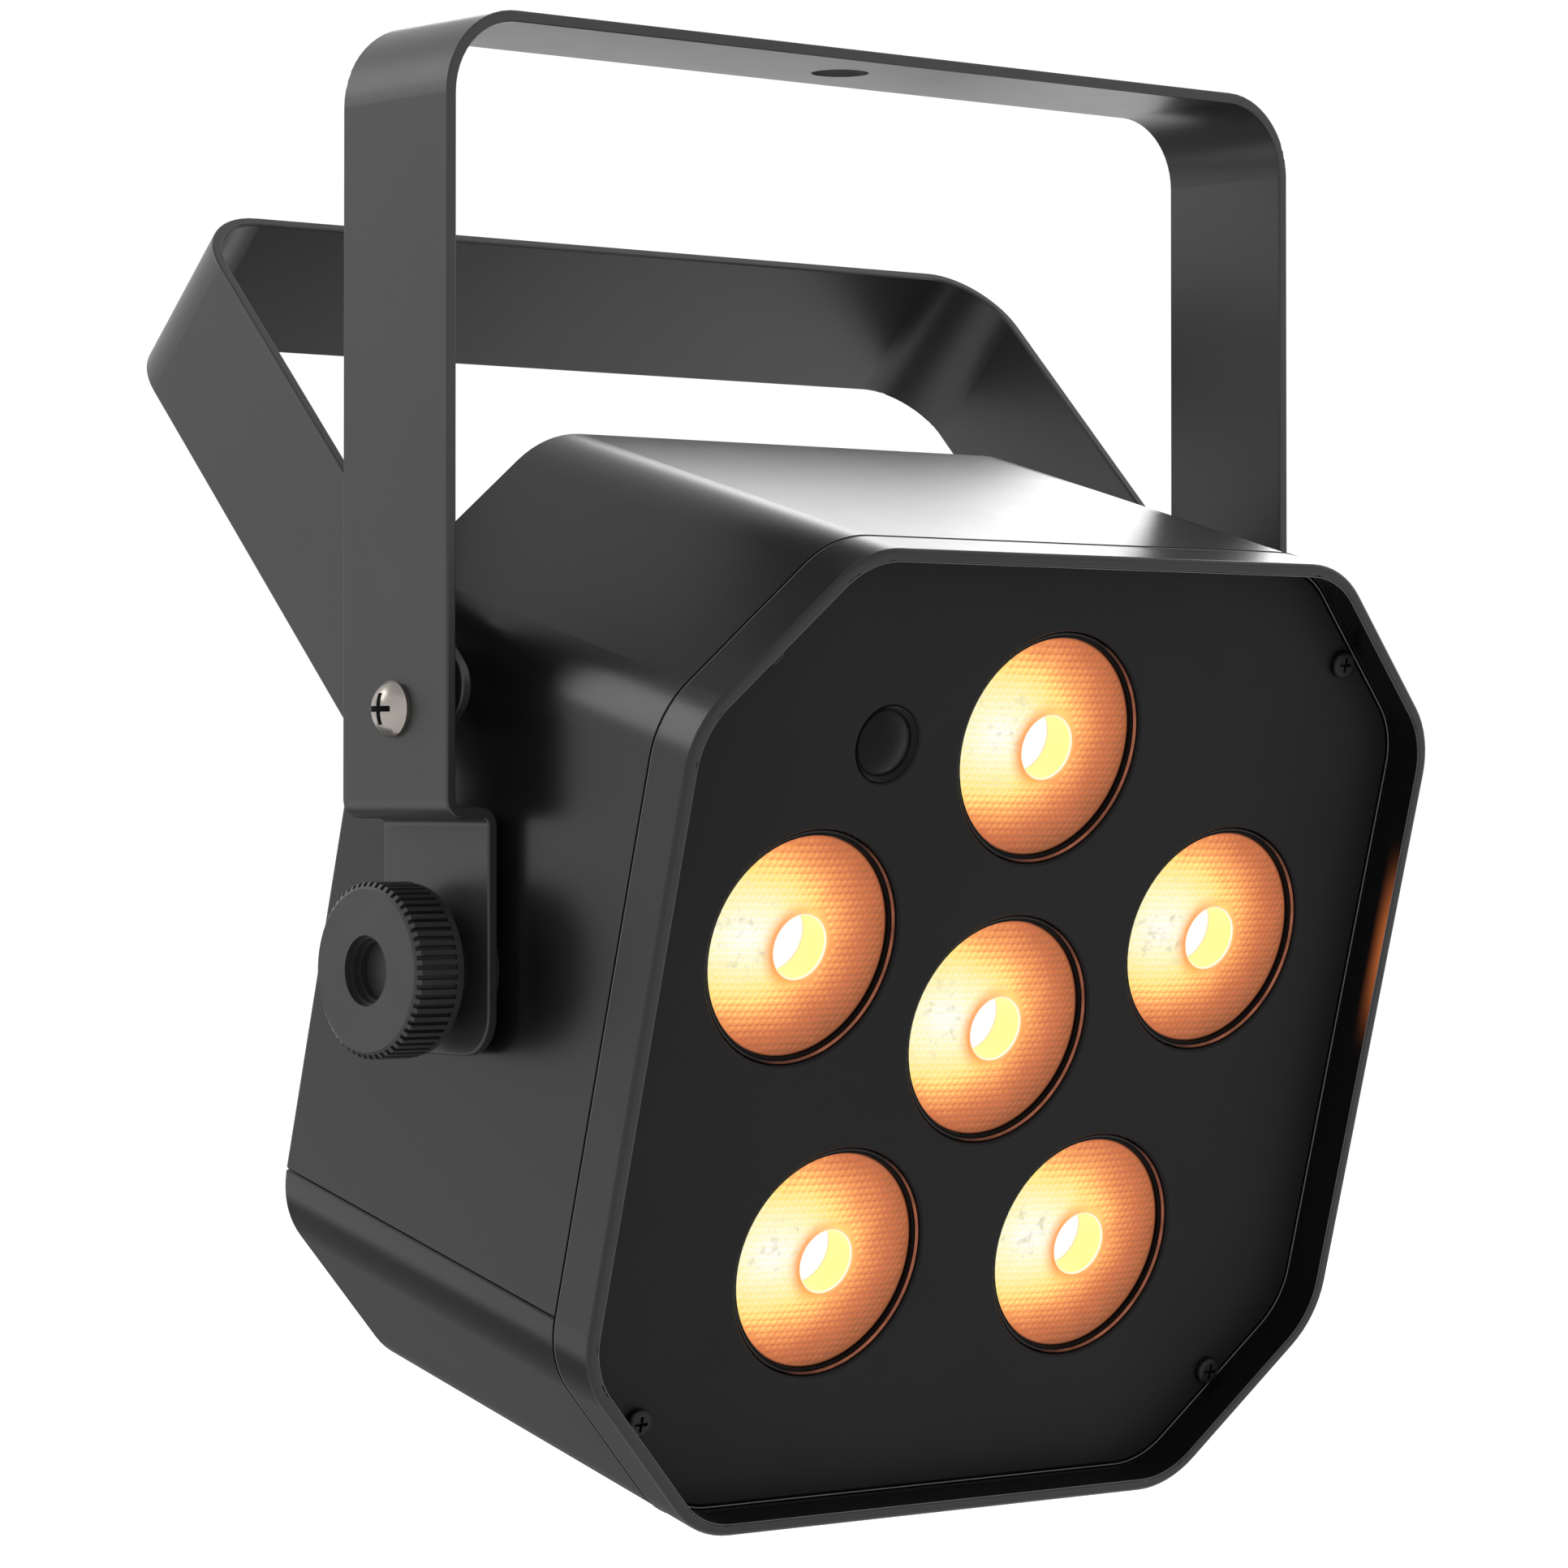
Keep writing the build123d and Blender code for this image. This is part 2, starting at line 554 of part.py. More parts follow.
with BuildPart() as led_emitters:
    with BuildSketch(head_plane(LED_BOARD_FACE)):
        with Locations(*LENS_CENTRES):
            Rectangle(LED_SIDE, LED_SIDE)
    extrude(amount=LED_HEIGHT)
    with BuildSketch(head_plane(LED_BOARD_FACE + LED_HEIGHT)):
        with Locations(*LENS_CENTRES):
            Circle(LED_DOME)
    extrude(amount=2.0, taper=20)
save(led_emitters.part, "led_emitters")

with BuildPart() as led_board:
    with BuildSketch(head_plane(SINK_FACE)):
        Circle(LED_BOARD_RADIUS)
        with PolarLocations(BOARD_SCREW_CIRCLE, 5, start_angle=18):
            Circle(1.6, mode=Mode.SUBTRACT)
    extrude(amount=LED_BOARD_THICKNESS)
save(led_board.part, "led_board")

with BuildPart() as board_screws:
    with BuildSketch(head_plane(LED_BOARD_FACE + FIT_GAP)):
        with PolarLocations(BOARD_SCREW_CIRCLE, 5, start_angle=18):
            Circle(2.6)
    extrude(amount=1.6)
    with BuildSketch(head_plane(LED_BOARD_FACE + FIT_GAP)):
        with PolarLocations(BOARD_SCREW_CIRCLE, 5, start_angle=18):
            Circle(1.5)
    extrude(amount=-LED_BOARD_THICKNESS - 3.2)
save(board_screws.part, "board_screws")

with BuildPart() as heat_sink:
    with BuildSketch(head_plane(SINK_FACE - FIT_GAP)):
        RectangleRounded(SINK_WIDTH, SINK_HEIGHT, 4.0)
    extrude(amount=-SINK_BASE)
    with BuildSketch(head_plane(SINK_FACE - FIT_GAP - SINK_BASE)):
        with GridLocations(FIN_PITCH, 1, FIN_COUNT, 1):
            Rectangle(FIN_THICKNESS, SINK_HEIGHT - 6)
    extrude(amount=FIN_TIP - SINK_FACE + FIT_GAP + SINK_BASE)
    with BuildSketch(head_plane(SINK_FACE - FIT_GAP)):
        with PolarLocations(BOARD_SCREW_CIRCLE, 5, start_angle=18):
            Circle(1.55)
    extrude(amount=-SINK_BASE, mode=Mode.SUBTRACT)
    with BuildSketch(head_plane(SINK_FACE - FIT_GAP)):
        with Locations(*[(x * POST_X, u * POST_U) for x, u in CORNERS]):
            Circle(1.7)
    extrude(amount=-SINK_BASE, mode=Mode.SUBTRACT)
save(heat_sink.part, "heat_sink")

with BuildPart() as front_screws:
    with BuildSketch(head_plane(PLATE_FACE + FIT_GAP)):
        with Locations(*[(x * SCREW_SPREAD, u * SCREW_SPREAD) for x, u in CORNERS]):
            Circle(2.5)
    extrude(amount=1.5)
    fillet(front_screws.edges().group_by(Axis(TILT_AXIS, BEAM))[-1], radius=0.7)
    with BuildSketch(head_plane(PLATE_FACE + FIT_GAP)):
        with Locations(*[(x * SCREW_SPREAD, u * SCREW_SPREAD) for x, u in CORNERS]):
            Circle(1.5)
    extrude(amount=-14.0)
    with BuildSketch(head_plane(PLATE_FACE + FIT_GAP + 1.5)):
        with Locations(*[(x * SCREW_SPREAD, u * SCREW_SPREAD) for x, u in CORNERS]):
            Rectangle(2.8, 0.6)
            Rectangle(0.6, 2.8)
    extrude(amount=-0.9, mode=Mode.SUBTRACT)
save(front_screws.part, "front_screws")

ir_section = head_section(*IR_CENTRE)
dome_start = PLATE_FACE - 0.9
dome_centre = dome_start - sqrt(IR_DOME_SPHERE**2 - IR_DOME_RADIUS**2)
dome_top = dome_centre + IR_DOME_SPHERE
half_way = asin(IR_DOME_RADIUS / IR_DOME_SPHERE) / 2
with BuildPart() as ir_window:
    with BuildSketch(ir_section):
        with BuildLine():
            Polyline(
                (0, dome_top),
                (0, PLATE_BACK - 1.6),
                (IR_HOLE + 1.0, PLATE_BACK - 1.6),
                (IR_HOLE + 1.0, PLATE_BACK - FIT_GAP),
                (IR_HOLE - 0.2, PLATE_BACK - FIT_GAP),
                (IR_HOLE - 0.2, PLATE_FACE - 0.3),
                (IR_DOME_RADIUS, dome_start),
            )
            ThreePointArc(
                (IR_DOME_RADIUS, dome_start),
                (IR_DOME_SPHERE * sin(half_way), dome_centre + IR_DOME_SPHERE * cos(half_way)),
                (0, dome_top),
            )
        make_face()
    revolve(axis=Axis(ir_section.origin, BEAM))
save(ir_window.part, "ir_window")

with BuildPart() as ir_receiver:
    with BuildSketch(head_plane(PLATE_BACK - 1.8)):
        with Locations(IR_CENTRE):
            Rectangle(6.0, 7.0)
    extrude(amount=-4.5)
    with BuildSketch(head_plane(PLATE_BACK - 6.3)):
        with Locations(IR_CENTRE):
            Rectangle(12.0, 14.0)
    extrude(amount=-1.6)
save(ir_receiver.part, "ir_receiver")

# ---------------------------------------------------------------- inside, behind the heat sink
post_places = [(x * POST_X, u * POST_U) for x, u in CORNERS]
with BuildPart() as chassis_posts:
    with BuildSketch(head_plane(PANEL_FACE + FIT_GAP)):
        with Locations(*post_places):
            RegularPolygon(POST_RADIUS, 6, major_radius=False)
            Circle(1.55, mode=Mode.SUBTRACT)
    extrude(amount=SINK_FACE - SINK_BASE - PANEL_FACE - 3 * FIT_GAP)
save(chassis_posts.part, "chassis_posts")

with BuildPart() as sink_screws:
    with BuildSketch(head_plane(SINK_FACE)):
        with Locations(*post_places):
            Circle(2.8)
    extrude(amount=2.0)
    with BuildSketch(head_plane(SINK_FACE)):
        with Locations(*post_places):
            Circle(1.5)
    extrude(amount=-12.0)
save(sink_screws.part, "sink_screws")

with BuildPart() as chassis_plate:
    with BuildSketch(head_plane(-CHASSIS_THICKNESS / 2)):
        Rectangle(2 * CHASSIS_HALF_WIDTH, 2 * CHASSIS_HALF_HEIGHT)
        for u in (-POST_U, POST_U):
            with Locations((0, u)):
                Rectangle(SINK_WIDTH, EAR_WIDTH)
        with Locations(*post_places):
            Circle(POST_RADIUS / cos(radians(30)) + 0.2, mode=Mode.SUBTRACT)
    extrude(amount=CHASSIS_THICKNESS)
save(chassis_plate.part, "chassis_plate")

cell_rows = [CELL_FIRST_ROW + CELL_PITCH * row for row in range(CELL_ROWS)]
tray_low = CELL_FIRST_ROW - CELL_RADIUS - 0.3
tray_high = cell_rows[-1] + CELL_RADIUS + 0.3
tray_middle = (tray_low + tray_high) / 2
tray_floor = CELL_CENTRE_D - CELL_RADIUS - 0.3
with BuildPart() as battery_cells:
    for row in cell_rows:
        for cell_side in (-1, 1):
            centre = head_plane(0).from_local_coords((cell_side * (CELL_LENGTH / 2 + 0.3), row, CELL_CENTRE_D))
            with BuildSketch(Plane(origin=centre, x_dir=(0, 1, 0), z_dir=(1, 0, 0))):
                Circle(CELL_RADIUS)
            extrude(amount=CELL_LENGTH / 2, both=True)
save(battery_cells.part, "battery_cells")

with BuildPart() as battery_tray:
    with BuildSketch(head_plane(tray_floor - TRAY_WALL)):
        with Locations((0, tray_middle)):
            Rectangle(2 * CHASSIS_HALF_WIDTH, tray_high - tray_low + 2 * TRAY_WALL)
    extrude(amount=-CHASSIS_THICKNESS / 2 - FIT_GAP - tray_floor + TRAY_WALL)
    with BuildSketch(head_plane(tray_floor)):
        with Locations((0, tray_middle)):
            Rectangle(2 * CHASSIS_HALF_WIDTH - 2 * TRAY_WALL, tray_high - tray_low)
    extrude(amount=-tray_floor, mode=Mode.SUBTRACT)
save(battery_tray.part, "battery_tray")

spacer_places = [(x * (DRIVER_WIDTH / 2 - 5), DRIVER_CENTRE_U + u * (DRIVER_HEIGHT / 2 - 5)) for x, u in CORNERS]
with BuildPart() as board_spacers:
    with BuildSketch(head_plane(-CHASSIS_THICKNESS / 2 - FIT_GAP)):
        with Locations(*spacer_places):
            Circle(3.0)
    extrude(amount=-DRIVER_SPACER + 2 * FIT_GAP)
save(board_spacers.part, "board_spacers")

with BuildPart() as driver_board:
    with BuildSketch(head_plane(DRIVER_FACE)):
        with Locations((0, DRIVER_CENTRE_U)):
            RectangleRounded(DRIVER_WIDTH, DRIVER_HEIGHT, 2.0)
    extrude(amount=1.6)
save(driver_board.part, "driver_board")

with BuildPart() as driver_inductors:
    with BuildSketch(head_plane(DRIVER_FACE - FIT_GAP)):
        with Locations(*[(x, DRIVER_CENTRE_U + 12.0) for x in (-45.0, -27.0, -9.0, 9.0)]):
            RectangleRounded(12.0, 12.0, 2.5)
    extrude(amount=-7.0)
save(driver_inductors.part, "driver_inductors")

with BuildPart() as driver_capacitors:
    with BuildSketch(head_plane(DRIVER_FACE - FIT_GAP)):
        with Locations(*[(x, DRIVER_CENTRE_U - 10.0) for x in (-46.0, -30.0, -14.0, 2.0)]):
            Circle(5.0)
    extrude(amount=-9.0)
save(driver_capacitors.part, "driver_capacitors")

with BuildPart() as wireless_module:
    with BuildSketch(head_plane(DRIVER_FACE - FIT_GAP)):
        with Locations((36.0, DRIVER_CENTRE_U + 4.0)):
            Rectangle(18.0, 26.0)
    extrude(amount=-1.0)
    with BuildSketch(head_plane(DRIVER_FACE - FIT_GAP - 1.0)):
        with Locations((36.0, DRIVER_CENTRE_U + 1.0)):
            Rectangle(15.0, 17.0)
    extrude(amount=-2.2)
save(wireless_module.part, "wireless_module")

# ---------------------------------------------------------------- the rear panel and its controls
button_places = [(BUTTON_PITCH * (step - 1.5), BUTTON_ROW) for step in range(4)]
with BuildPart() as rear_gasket:
    with BuildSketch(head_plane(PANEL_FACE)):
        add(octagon(WALL + PLATE_GAP))
        add(octagon(WALL + LIP_WIDTH), mode=Mode.SUBTRACT)
    extrude(amount=GASKET_THICKNESS)
save(rear_gasket.part, "rear_gasket")

with BuildPart() as rear_panel:
    with BuildSketch(head_plane(PANEL_BACK)):
        add(octagon(WALL + PANEL_GAP))
    extrude(amount=PANEL_THICKNESS)
    chamfer(rear_panel.faces().sort_by(Axis(TILT_AXIS, BEAM))[0].edges(), length=0.4)
    with BuildSketch(head_plane(PANEL_BACK)):
        with Locations(DISPLAY_CENTRE):
            RectangleRounded(*DISPLAY_SIZE, 2.0)
        with Locations(*button_places):
            Circle(BUTTON_HOLE)
        with Locations(INLET_CENTRE):
            Rectangle(INLET_CAVITY[0] + 3.2, INLET_CAVITY[1] + 3.2)
        with Locations(SWITCH_CENTRE):
            Rectangle(SWITCH_OPENING[0] + 2.4, SWITCH_OPENING[1] + 2.4)
        with Locations(*post_places):
            Circle(1.7)
    extrude(amount=PANEL_THICKNESS, mode=Mode.SUBTRACT)
save(rear_panel.part, "rear_panel")

with BuildPart() as rear_screws:
    with BuildSketch(head_plane(PANEL_BACK - FIT_GAP)):
        with Locations(*post_places):
            Circle(2.8)
    extrude(amount=-1.7)
    fillet(rear_screws.edges().group_by(Axis(TILT_AXIS, BEAM))[0], radius=0.8)
    with BuildSketch(head_plane(PANEL_BACK - FIT_GAP)):
        with Locations(*post_places):
            Circle(1.5)
    extrude(amount=12.0)
    with BuildSketch(head_plane(PANEL_BACK - FIT_GAP - 1.7)):
        with Locations(*post_places):
            Rectangle(3.2, 0.7)
            Rectangle(0.7, 3.2)
    extrude(amount=1.0, mode=Mode.SUBTRACT)
save(rear_screws.part, "rear_screws")

foot_places = [(x * FOOT_DISTANCE / sqrt(2), u * FOOT_DISTANCE / sqrt(2)) for x, u in CORNERS]
with BuildPart() as rear_feet:
    with BuildSketch(head_plane(PANEL_BACK - FIT_GAP)):
        with Locations(*foot_places):
            Circle(FOOT_RADIUS)
    extrude(amount=-FOOT_HEIGHT, taper=6)
    fillet(rear_feet.edges().group_by(Axis(TILT_AXIS, BEAM))[0], radius=1.2)
save(rear_feet.part, "rear_feet")

with BuildPart() as display_window:
    with BuildSketch(head_plane(PANEL_BACK + 0.3)):
        with Locations(DISPLAY_CENTRE):
            RectangleRounded(DISPLAY_SIZE[0] - 0.3, DISPLAY_SIZE[1] - 0.3, 1.9)
    extrude(amount=1.6)
save(display_window.part, "display_window")

with BuildPart() as display_module:
    with BuildSketch(head_plane(PANEL_FACE - 0.5)):
        with Locations(DISPLAY_CENTRE):
            Rectangle(DISPLAY_SIZE[0] - 4, DISPLAY_SIZE[1] - 4)
    extrude(amount=5.0)
save(display_module.part, "display_module")

# one board carries the display and the four tactile switches
with BuildPart() as control_board:
    with BuildSketch(head_plane(PANEL_FACE + 4.6)):
        with Locations((0, 21.5)):
            RectangleRounded(74.0, 46.0, 2.0)
    extrude(amount=1.6)
save(control_board.part, "control_board")

with BuildPart() as tactile_switches:
    with BuildSketch(head_plane(PANEL_FACE + 4.5)):
        with Locations(*button_places):
            Rectangle(6.0, 6.0)
    extrude(amount=-2.6)
save(tactile_switches.part, "tactile_switches")

button_back = PANEL_FACE + 0.9  # leaves the 0.9 mm that a button travels before its switch bottoms
for name, place in zip(BUTTON_NAMES, button_places):
    with BuildPart() as button:
        with BuildSketch(head_plane(PANEL_BACK - BUTTON_PROUD)):
            with Locations(place):
                Circle(BUTTON_RADIUS)
        extrude(amount=button_back - PANEL_BACK + BUTTON_PROUD)
        fillet(button.edges().group_by(Axis(TILT_AXIS, BEAM))[0], radius=0.7)
        with BuildSketch(head_plane(PANEL_FACE + 0.1)):
            with Locations(place):
                Circle(BUTTON_RADIUS + 1.0)
        extrude(amount=0.8)
    save(button.part, name)

with BuildPart() as power_inlet:
    with BuildSketch(head_plane(PANEL_BACK - FIT_GAP)):
        with Locations(INLET_CENTRE):
            RectangleRounded(*INLET_FLANGE, 4.0)
    extrude(amount=-2.0)
    with BuildSketch(head_plane(PANEL_BACK - FIT_GAP)):
        with Locations(INLET_CENTRE):
            Rectangle(INLET_CAVITY[0] + 2.6, INLET_CAVITY[1] + 2.6)
    extrude(amount=INLET_DEPTH)
    with BuildSketch(head_plane(PANEL_BACK - FIT_GAP - 2.0)):
        with Locations(INLET_CENTRE):
            RectangleRounded(*INLET_CAVITY, 1.5)
    extrude(amount=INLET_DEPTH, mode=Mode.SUBTRACT)
    with BuildSketch(head_plane(PANEL_BACK)):
        with Locations(*[(INLET_CENTRE[0] + x * 20.0, INLET_CENTRE[1]) for x in (-1, 1)]):
            Circle(1.7)
    extrude(amount=-2.0 - FIT_GAP, mode=Mode.SUBTRACT)
save(power_inlet.part, "power_inlet")

with BuildPart() as inlet_pins:
    with BuildSketch(head_plane(PANEL_BACK + INLET_DEPTH - 2.1)):
        with Locations(INLET_CENTRE):
            with Locations((-7.0, -2.0), (7.0, -2.0), (0, 3.0)):
                Rectangle(2.0, 4.0)
    extrude(amount=-11.0)
save(inlet_pins.part, "inlet_pins")

with BuildPart() as switch_frame:
    with BuildSketch(head_plane(PANEL_BACK - FIT_GAP)):
        with Locations(SWITCH_CENTRE):
            Rectangle(SWITCH_OPENING[0] + 6.0, SWITCH_OPENING[1] + 6.0)
    extrude(amount=-1.6)
    with BuildSketch(head_plane(PANEL_BACK - FIT_GAP)):
        with Locations(SWITCH_CENTRE):
            Rectangle(SWITCH_OPENING[0] + 2.0, SWITCH_OPENING[1] + 2.0)
    extrude(amount=14.0)
    with BuildSketch(head_plane(PANEL_BACK - FIT_GAP - 1.6)):
        with Locations(SWITCH_CENTRE):
            Rectangle(*SWITCH_OPENING)
    extrude(amount=12.0, mode=Mode.SUBTRACT)
save(switch_frame.part, "switch_frame")

# the rocker is a shallow V that turns about the middle of its frame, at rest leaning to "on"
rocker_axis = head_plane(PANEL_BACK + 1.0).from_local_coords((*SWITCH_CENTRE, 0))
with BuildPart() as power_rocker:
    with BuildSketch(Plane(origin=rocker_axis, x_dir=-BEAM, z_dir=(-1, 0, 0))):
        with Locations(Location((0, 0), ROCKER_LEAN)):
            with BuildLine():
                Polyline(
                    (3.0, 0),
                    (4.4, 8.6),
                    (-1.2, 8.6),
                    (-4.5, 2.0),
                    (-4.5, -2.0),
                    (-1.2, -8.6),
                    (4.4, -8.6),
                    close=True,
                )
            make_face()
    extrude(amount=SWITCH_OPENING[0] / 2 - 0.3, both=True)
save(power_rocker.part, "power_rocker")
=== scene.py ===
import json
from math import cos, hypot, pi, radians, sin, sqrt

import bmesh
import bpy
from mathutils import Euler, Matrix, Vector


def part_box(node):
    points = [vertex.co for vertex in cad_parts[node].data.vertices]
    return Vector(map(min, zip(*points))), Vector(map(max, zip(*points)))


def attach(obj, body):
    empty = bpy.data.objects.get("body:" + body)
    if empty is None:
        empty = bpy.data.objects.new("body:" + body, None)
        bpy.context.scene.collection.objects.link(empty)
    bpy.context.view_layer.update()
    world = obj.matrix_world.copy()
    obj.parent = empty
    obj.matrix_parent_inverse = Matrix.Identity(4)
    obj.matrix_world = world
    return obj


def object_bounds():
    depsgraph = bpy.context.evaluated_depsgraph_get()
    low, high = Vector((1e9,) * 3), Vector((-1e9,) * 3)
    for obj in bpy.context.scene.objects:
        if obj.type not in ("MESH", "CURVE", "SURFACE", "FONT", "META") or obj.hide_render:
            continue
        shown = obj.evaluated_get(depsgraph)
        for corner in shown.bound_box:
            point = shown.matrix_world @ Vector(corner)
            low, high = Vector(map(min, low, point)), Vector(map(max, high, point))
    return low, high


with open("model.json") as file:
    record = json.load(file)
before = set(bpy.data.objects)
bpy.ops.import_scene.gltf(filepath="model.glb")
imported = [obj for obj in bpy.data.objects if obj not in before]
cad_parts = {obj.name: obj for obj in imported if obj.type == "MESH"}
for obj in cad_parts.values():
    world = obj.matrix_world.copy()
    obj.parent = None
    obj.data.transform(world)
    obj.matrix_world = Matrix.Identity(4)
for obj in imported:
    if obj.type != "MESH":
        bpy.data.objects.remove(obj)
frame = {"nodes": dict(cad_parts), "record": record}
cad_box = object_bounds()

MM = 0.001
nodes = frame["nodes"]
record = frame["record"]
slot_of = {part["node"]: part["material_slot"] for part in record["subparts"]}

# ---------------------------------------------------------------- the head's own directions
HEAD_TILT = radians(15.1)
TILT_CENTRE = (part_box("left_stud")[0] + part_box("left_stud")[1]) / 2
TILT_CENTRE.x = 0
BEAM = Vector((0, -cos(HEAD_TILT), -sin(HEAD_TILT)))
ACROSS = Vector((1, 0, 0))
UP = Vector((0, -sin(HEAD_TILT), cos(HEAD_TILT)))


def on_head(x, up, out):
    """A point on the tilted head: across, up along its face and out along its beam, in metres."""
    return TILT_CENTRE + ACROSS * x + UP * up + BEAM * out


# ---------------------------------------------------------------- node helpers
class Shader:
    """A material's node tree, with short calls for the nodes used here."""

    def __init__(self, name):
        self.material = bpy.data.materials.new(name)
        self.material.use_nodes = True
        self.tree = self.material.node_tree
        self.surface = self.tree.nodes["Principled BSDF"]
        self.place = self.add("ShaderNodeTexCoord").outputs["Object"]

    def add(self, kind, **values):
        node = self.tree.nodes.new(kind)
        for key, value in values.items():
            setattr(node, key, value)
        return node

    def link(self, source, target):
        self.tree.links.new(source, target)

    def set(self, **values):
        for key, value in values.items():
            self.surface.inputs[key.replace("_", " ")].default_value = value
        return self

    def maths(self, operation, first, second=0.0, clamp=False):
        node = self.add("ShaderNodeMath", operation=operation, use_clamp=clamp)
        for socket, value in zip(node.inputs, (first, second)):
            if isinstance(value, (int, float)):
                socket.default_value = value
            else:
                self.link(value, socket)
        return node.outputs[0]

    def vector(self, operation, first, second=None):
        """A step of vector arithmetic. Each value is a Vector or another node's output."""
        node = self.add("ShaderNodeVectorMath", operation=operation)
        for socket, value in zip(node.inputs, (first, second)):
            if isinstance(value, Vector):
                socket.default_value = value
            elif value is not None:
                self.link(value, socket)
        return node.outputs["Value" if operation in ("DOT_PRODUCT", "LENGTH") else "Vector"]

    def root_of_squares(self, first, second):
        squares = [self.maths("MULTIPLY", value, value) for value in (first, second)]
        return self.maths("SQRT", self.maths("ADD", *squares))

    def normal(self):
        return self.add("ShaderNodeNewGeometry").outputs["Normal"]

    def glow(self, source):
        self.link(source, self.surface.inputs["Emission Color"])

    def noise(self, scale, detail=3.0, roughness=0.5, place=None):
        node = self.add("ShaderNodeTexNoise")
        node.inputs["Scale"].default_value = scale
        node.inputs["Detail"].default_value = detail
        node.inputs["Roughness"].default_value = roughness
        self.link(place or self.place, node.inputs["Vector"])
        return node.outputs["Fac"]

    def stretched(self, scale):
        """The object's own coordinates, drawn out along chosen axes."""
        node = self.add("ShaderNodeMapping")
        node.inputs["Scale"].default_value = scale
        self.link(self.place, node.inputs["Vector"])
        return node.outputs["Vector"]

    def spread(self, source, low, high, to_low, to_high):
        node = self.add("ShaderNodeMapRange")
        for key, value in (("From Min", low), ("From Max", high), ("To Min", to_low), ("To Max", to_high)):
            node.inputs[key].default_value = value
        self.link(source, node.inputs["Value"])
        return node.outputs["Result"]

    def ramp(self, source, stops, interpolation="LINEAR"):
        node = self.add("ShaderNodeValToRGB")
        node.color_ramp.interpolation = interpolation
        elements = node.color_ramp.elements
        while len(elements) < len(stops):
            elements.new(0.5)
        for element, (position, colour) in zip(elements, stops):
            element.position = position
            element.color = (*colour, 1)
        self.link(source, node.inputs["Fac"])
        return node.outputs["Color"]

    def blend(self, share, first, second):
        node = self.add("ShaderNodeMix", data_type="RGBA")
        for socket, value in ((node.inputs[0], share), (node.inputs[6], first), (node.inputs[7], second)):
            if isinstance(value, tuple):
                socket.default_value = (*value, 1)
            elif isinstance(value, float):
                socket.default_value = value
            else:
                self.link(value, socket)
        return node.outputs[2]

    def colour(self, source):
        self.link(source, self.surface.inputs["Base Color"])

    def roughness(self, source):
        self.link(source, self.surface.inputs["Roughness"])

    def bump(self, source, height):
        """Raises the surface by source times height, in metres."""
        node = self.add("ShaderNodeBump")
        node.inputs["Strength"].default_value = 1.0
        node.inputs["Distance"].default_value = height
        self.link(source, node.inputs["Height"])
        self.link(node.outputs["Normal"], self.surface.inputs["Normal"])


def srgb(*values):
    """Display values from 0 to 255 as the linear colour that a shader takes."""
    return tuple((v / 255 / 12.92) if v < 11 else ((v / 255 + 0.055) / 1.055) ** 2.4 for v in values)


def shade(colour, factor):
    return tuple(min(1.0, v * factor) for v in colour)


def painted(name, colour, gloss, peel, grain, specular=0.5):
    """Powder coat or paint: fine peel in the surface, cloudy gloss and a slight drift of tone."""
    s = Shader(name).set(Specular_IOR_Level=specular)
    tone = s.noise(28, 4)
    s.colour(s.ramp(tone, [(0.3, shade(colour, 0.88)), (0.7, shade(colour, 1.12))]))
    s.roughness(s.spread(s.noise(75, 5, 0.6), 0.3, 0.7, gloss - 0.01, gloss + 0.01))
    s.bump(s.noise(grain, 2), peel)
    return s


def moulded(name, colour, gloss, texture, scale, specular=0.5):
    """Moulded plastic or rubber with a spark-eroded texture."""
    s = Shader(name).set(Specular_IOR_Level=specular)
    s.colour(s.ramp(s.noise(60, 3), [(0.3, shade(colour, 0.85)), (0.7, shade(colour, 1.15))]))
    s.roughness(s.spread(s.noise(220, 3), 0.3, 0.7, gloss - 0.05, gloss + 0.05))
    s.bump(s.noise(scale, 3, 0.65), texture)
    return s


def metal(name, colour, gloss, brushed=(1, 1, 1), scale=600, texture=4e-6):
    """Bare or plated metal, with fine tool marks drawn out by brushed."""
    s = Shader(name).set(Metallic=1.0)
    marks = s.noise(scale, 4, 0.6, s.stretched(brushed))
    s.colour(s.ramp(s.noise(90, 4), [(0.3, shade(colour, 0.86)), (0.7, shade(colour, 1.1))]))
    s.roughness(s.spread(marks, 0.3, 0.7, gloss - 0.06, gloss + 0.08))
    s.bump(marks, texture)
    return s


# ---------------------------------------------------------------- the lit lens
WELL = 6.2 * MM
WELL_MOUTH = 5.6 * MM  # the radius inside the lip
LENS_RIM = 19.5 * MM
LENS_EDGE_OUT = 42.3 * MM
LENS_CROWN = 0.9 * MM
WELL_FLOOR_OUT = 35.2 * MM
HOT_SPOT = (-12 * MM, 2 * MM)  # across and up from the lens's middle
GLOW_SPAN = (20.5 * MM, 15.3 * MM)
GLOW = [  # plain colours, by their share of the way out from the hot spot to GLOW_END
    (0.00, srgb(255, 253, 245)),
    (0.20, srgb(255, 248, 200)),
    (0.44, srgb(255, 230, 130)),
    (0.58, srgb(255, 165, 95)),
    (0.74, srgb(210, 115, 70)),
    (1.00, srgb(150, 85, 55)),
]
GLOW_END = 1.6  # in spans
WELL_COLOURS = [  # white at the well's floor, pale yellow up its wall, and white again at its lip as a painted highlight
    (0.00, srgb(255, 255, 255)),
    (0.10, srgb(255, 255, 250)),
    (0.13, srgb(250, 225, 170)),
    (0.18, srgb(255, 252, 155)),
    (0.93, srgb(255, 252, 155)),
    (0.98, srgb(255, 254, 235)),
]


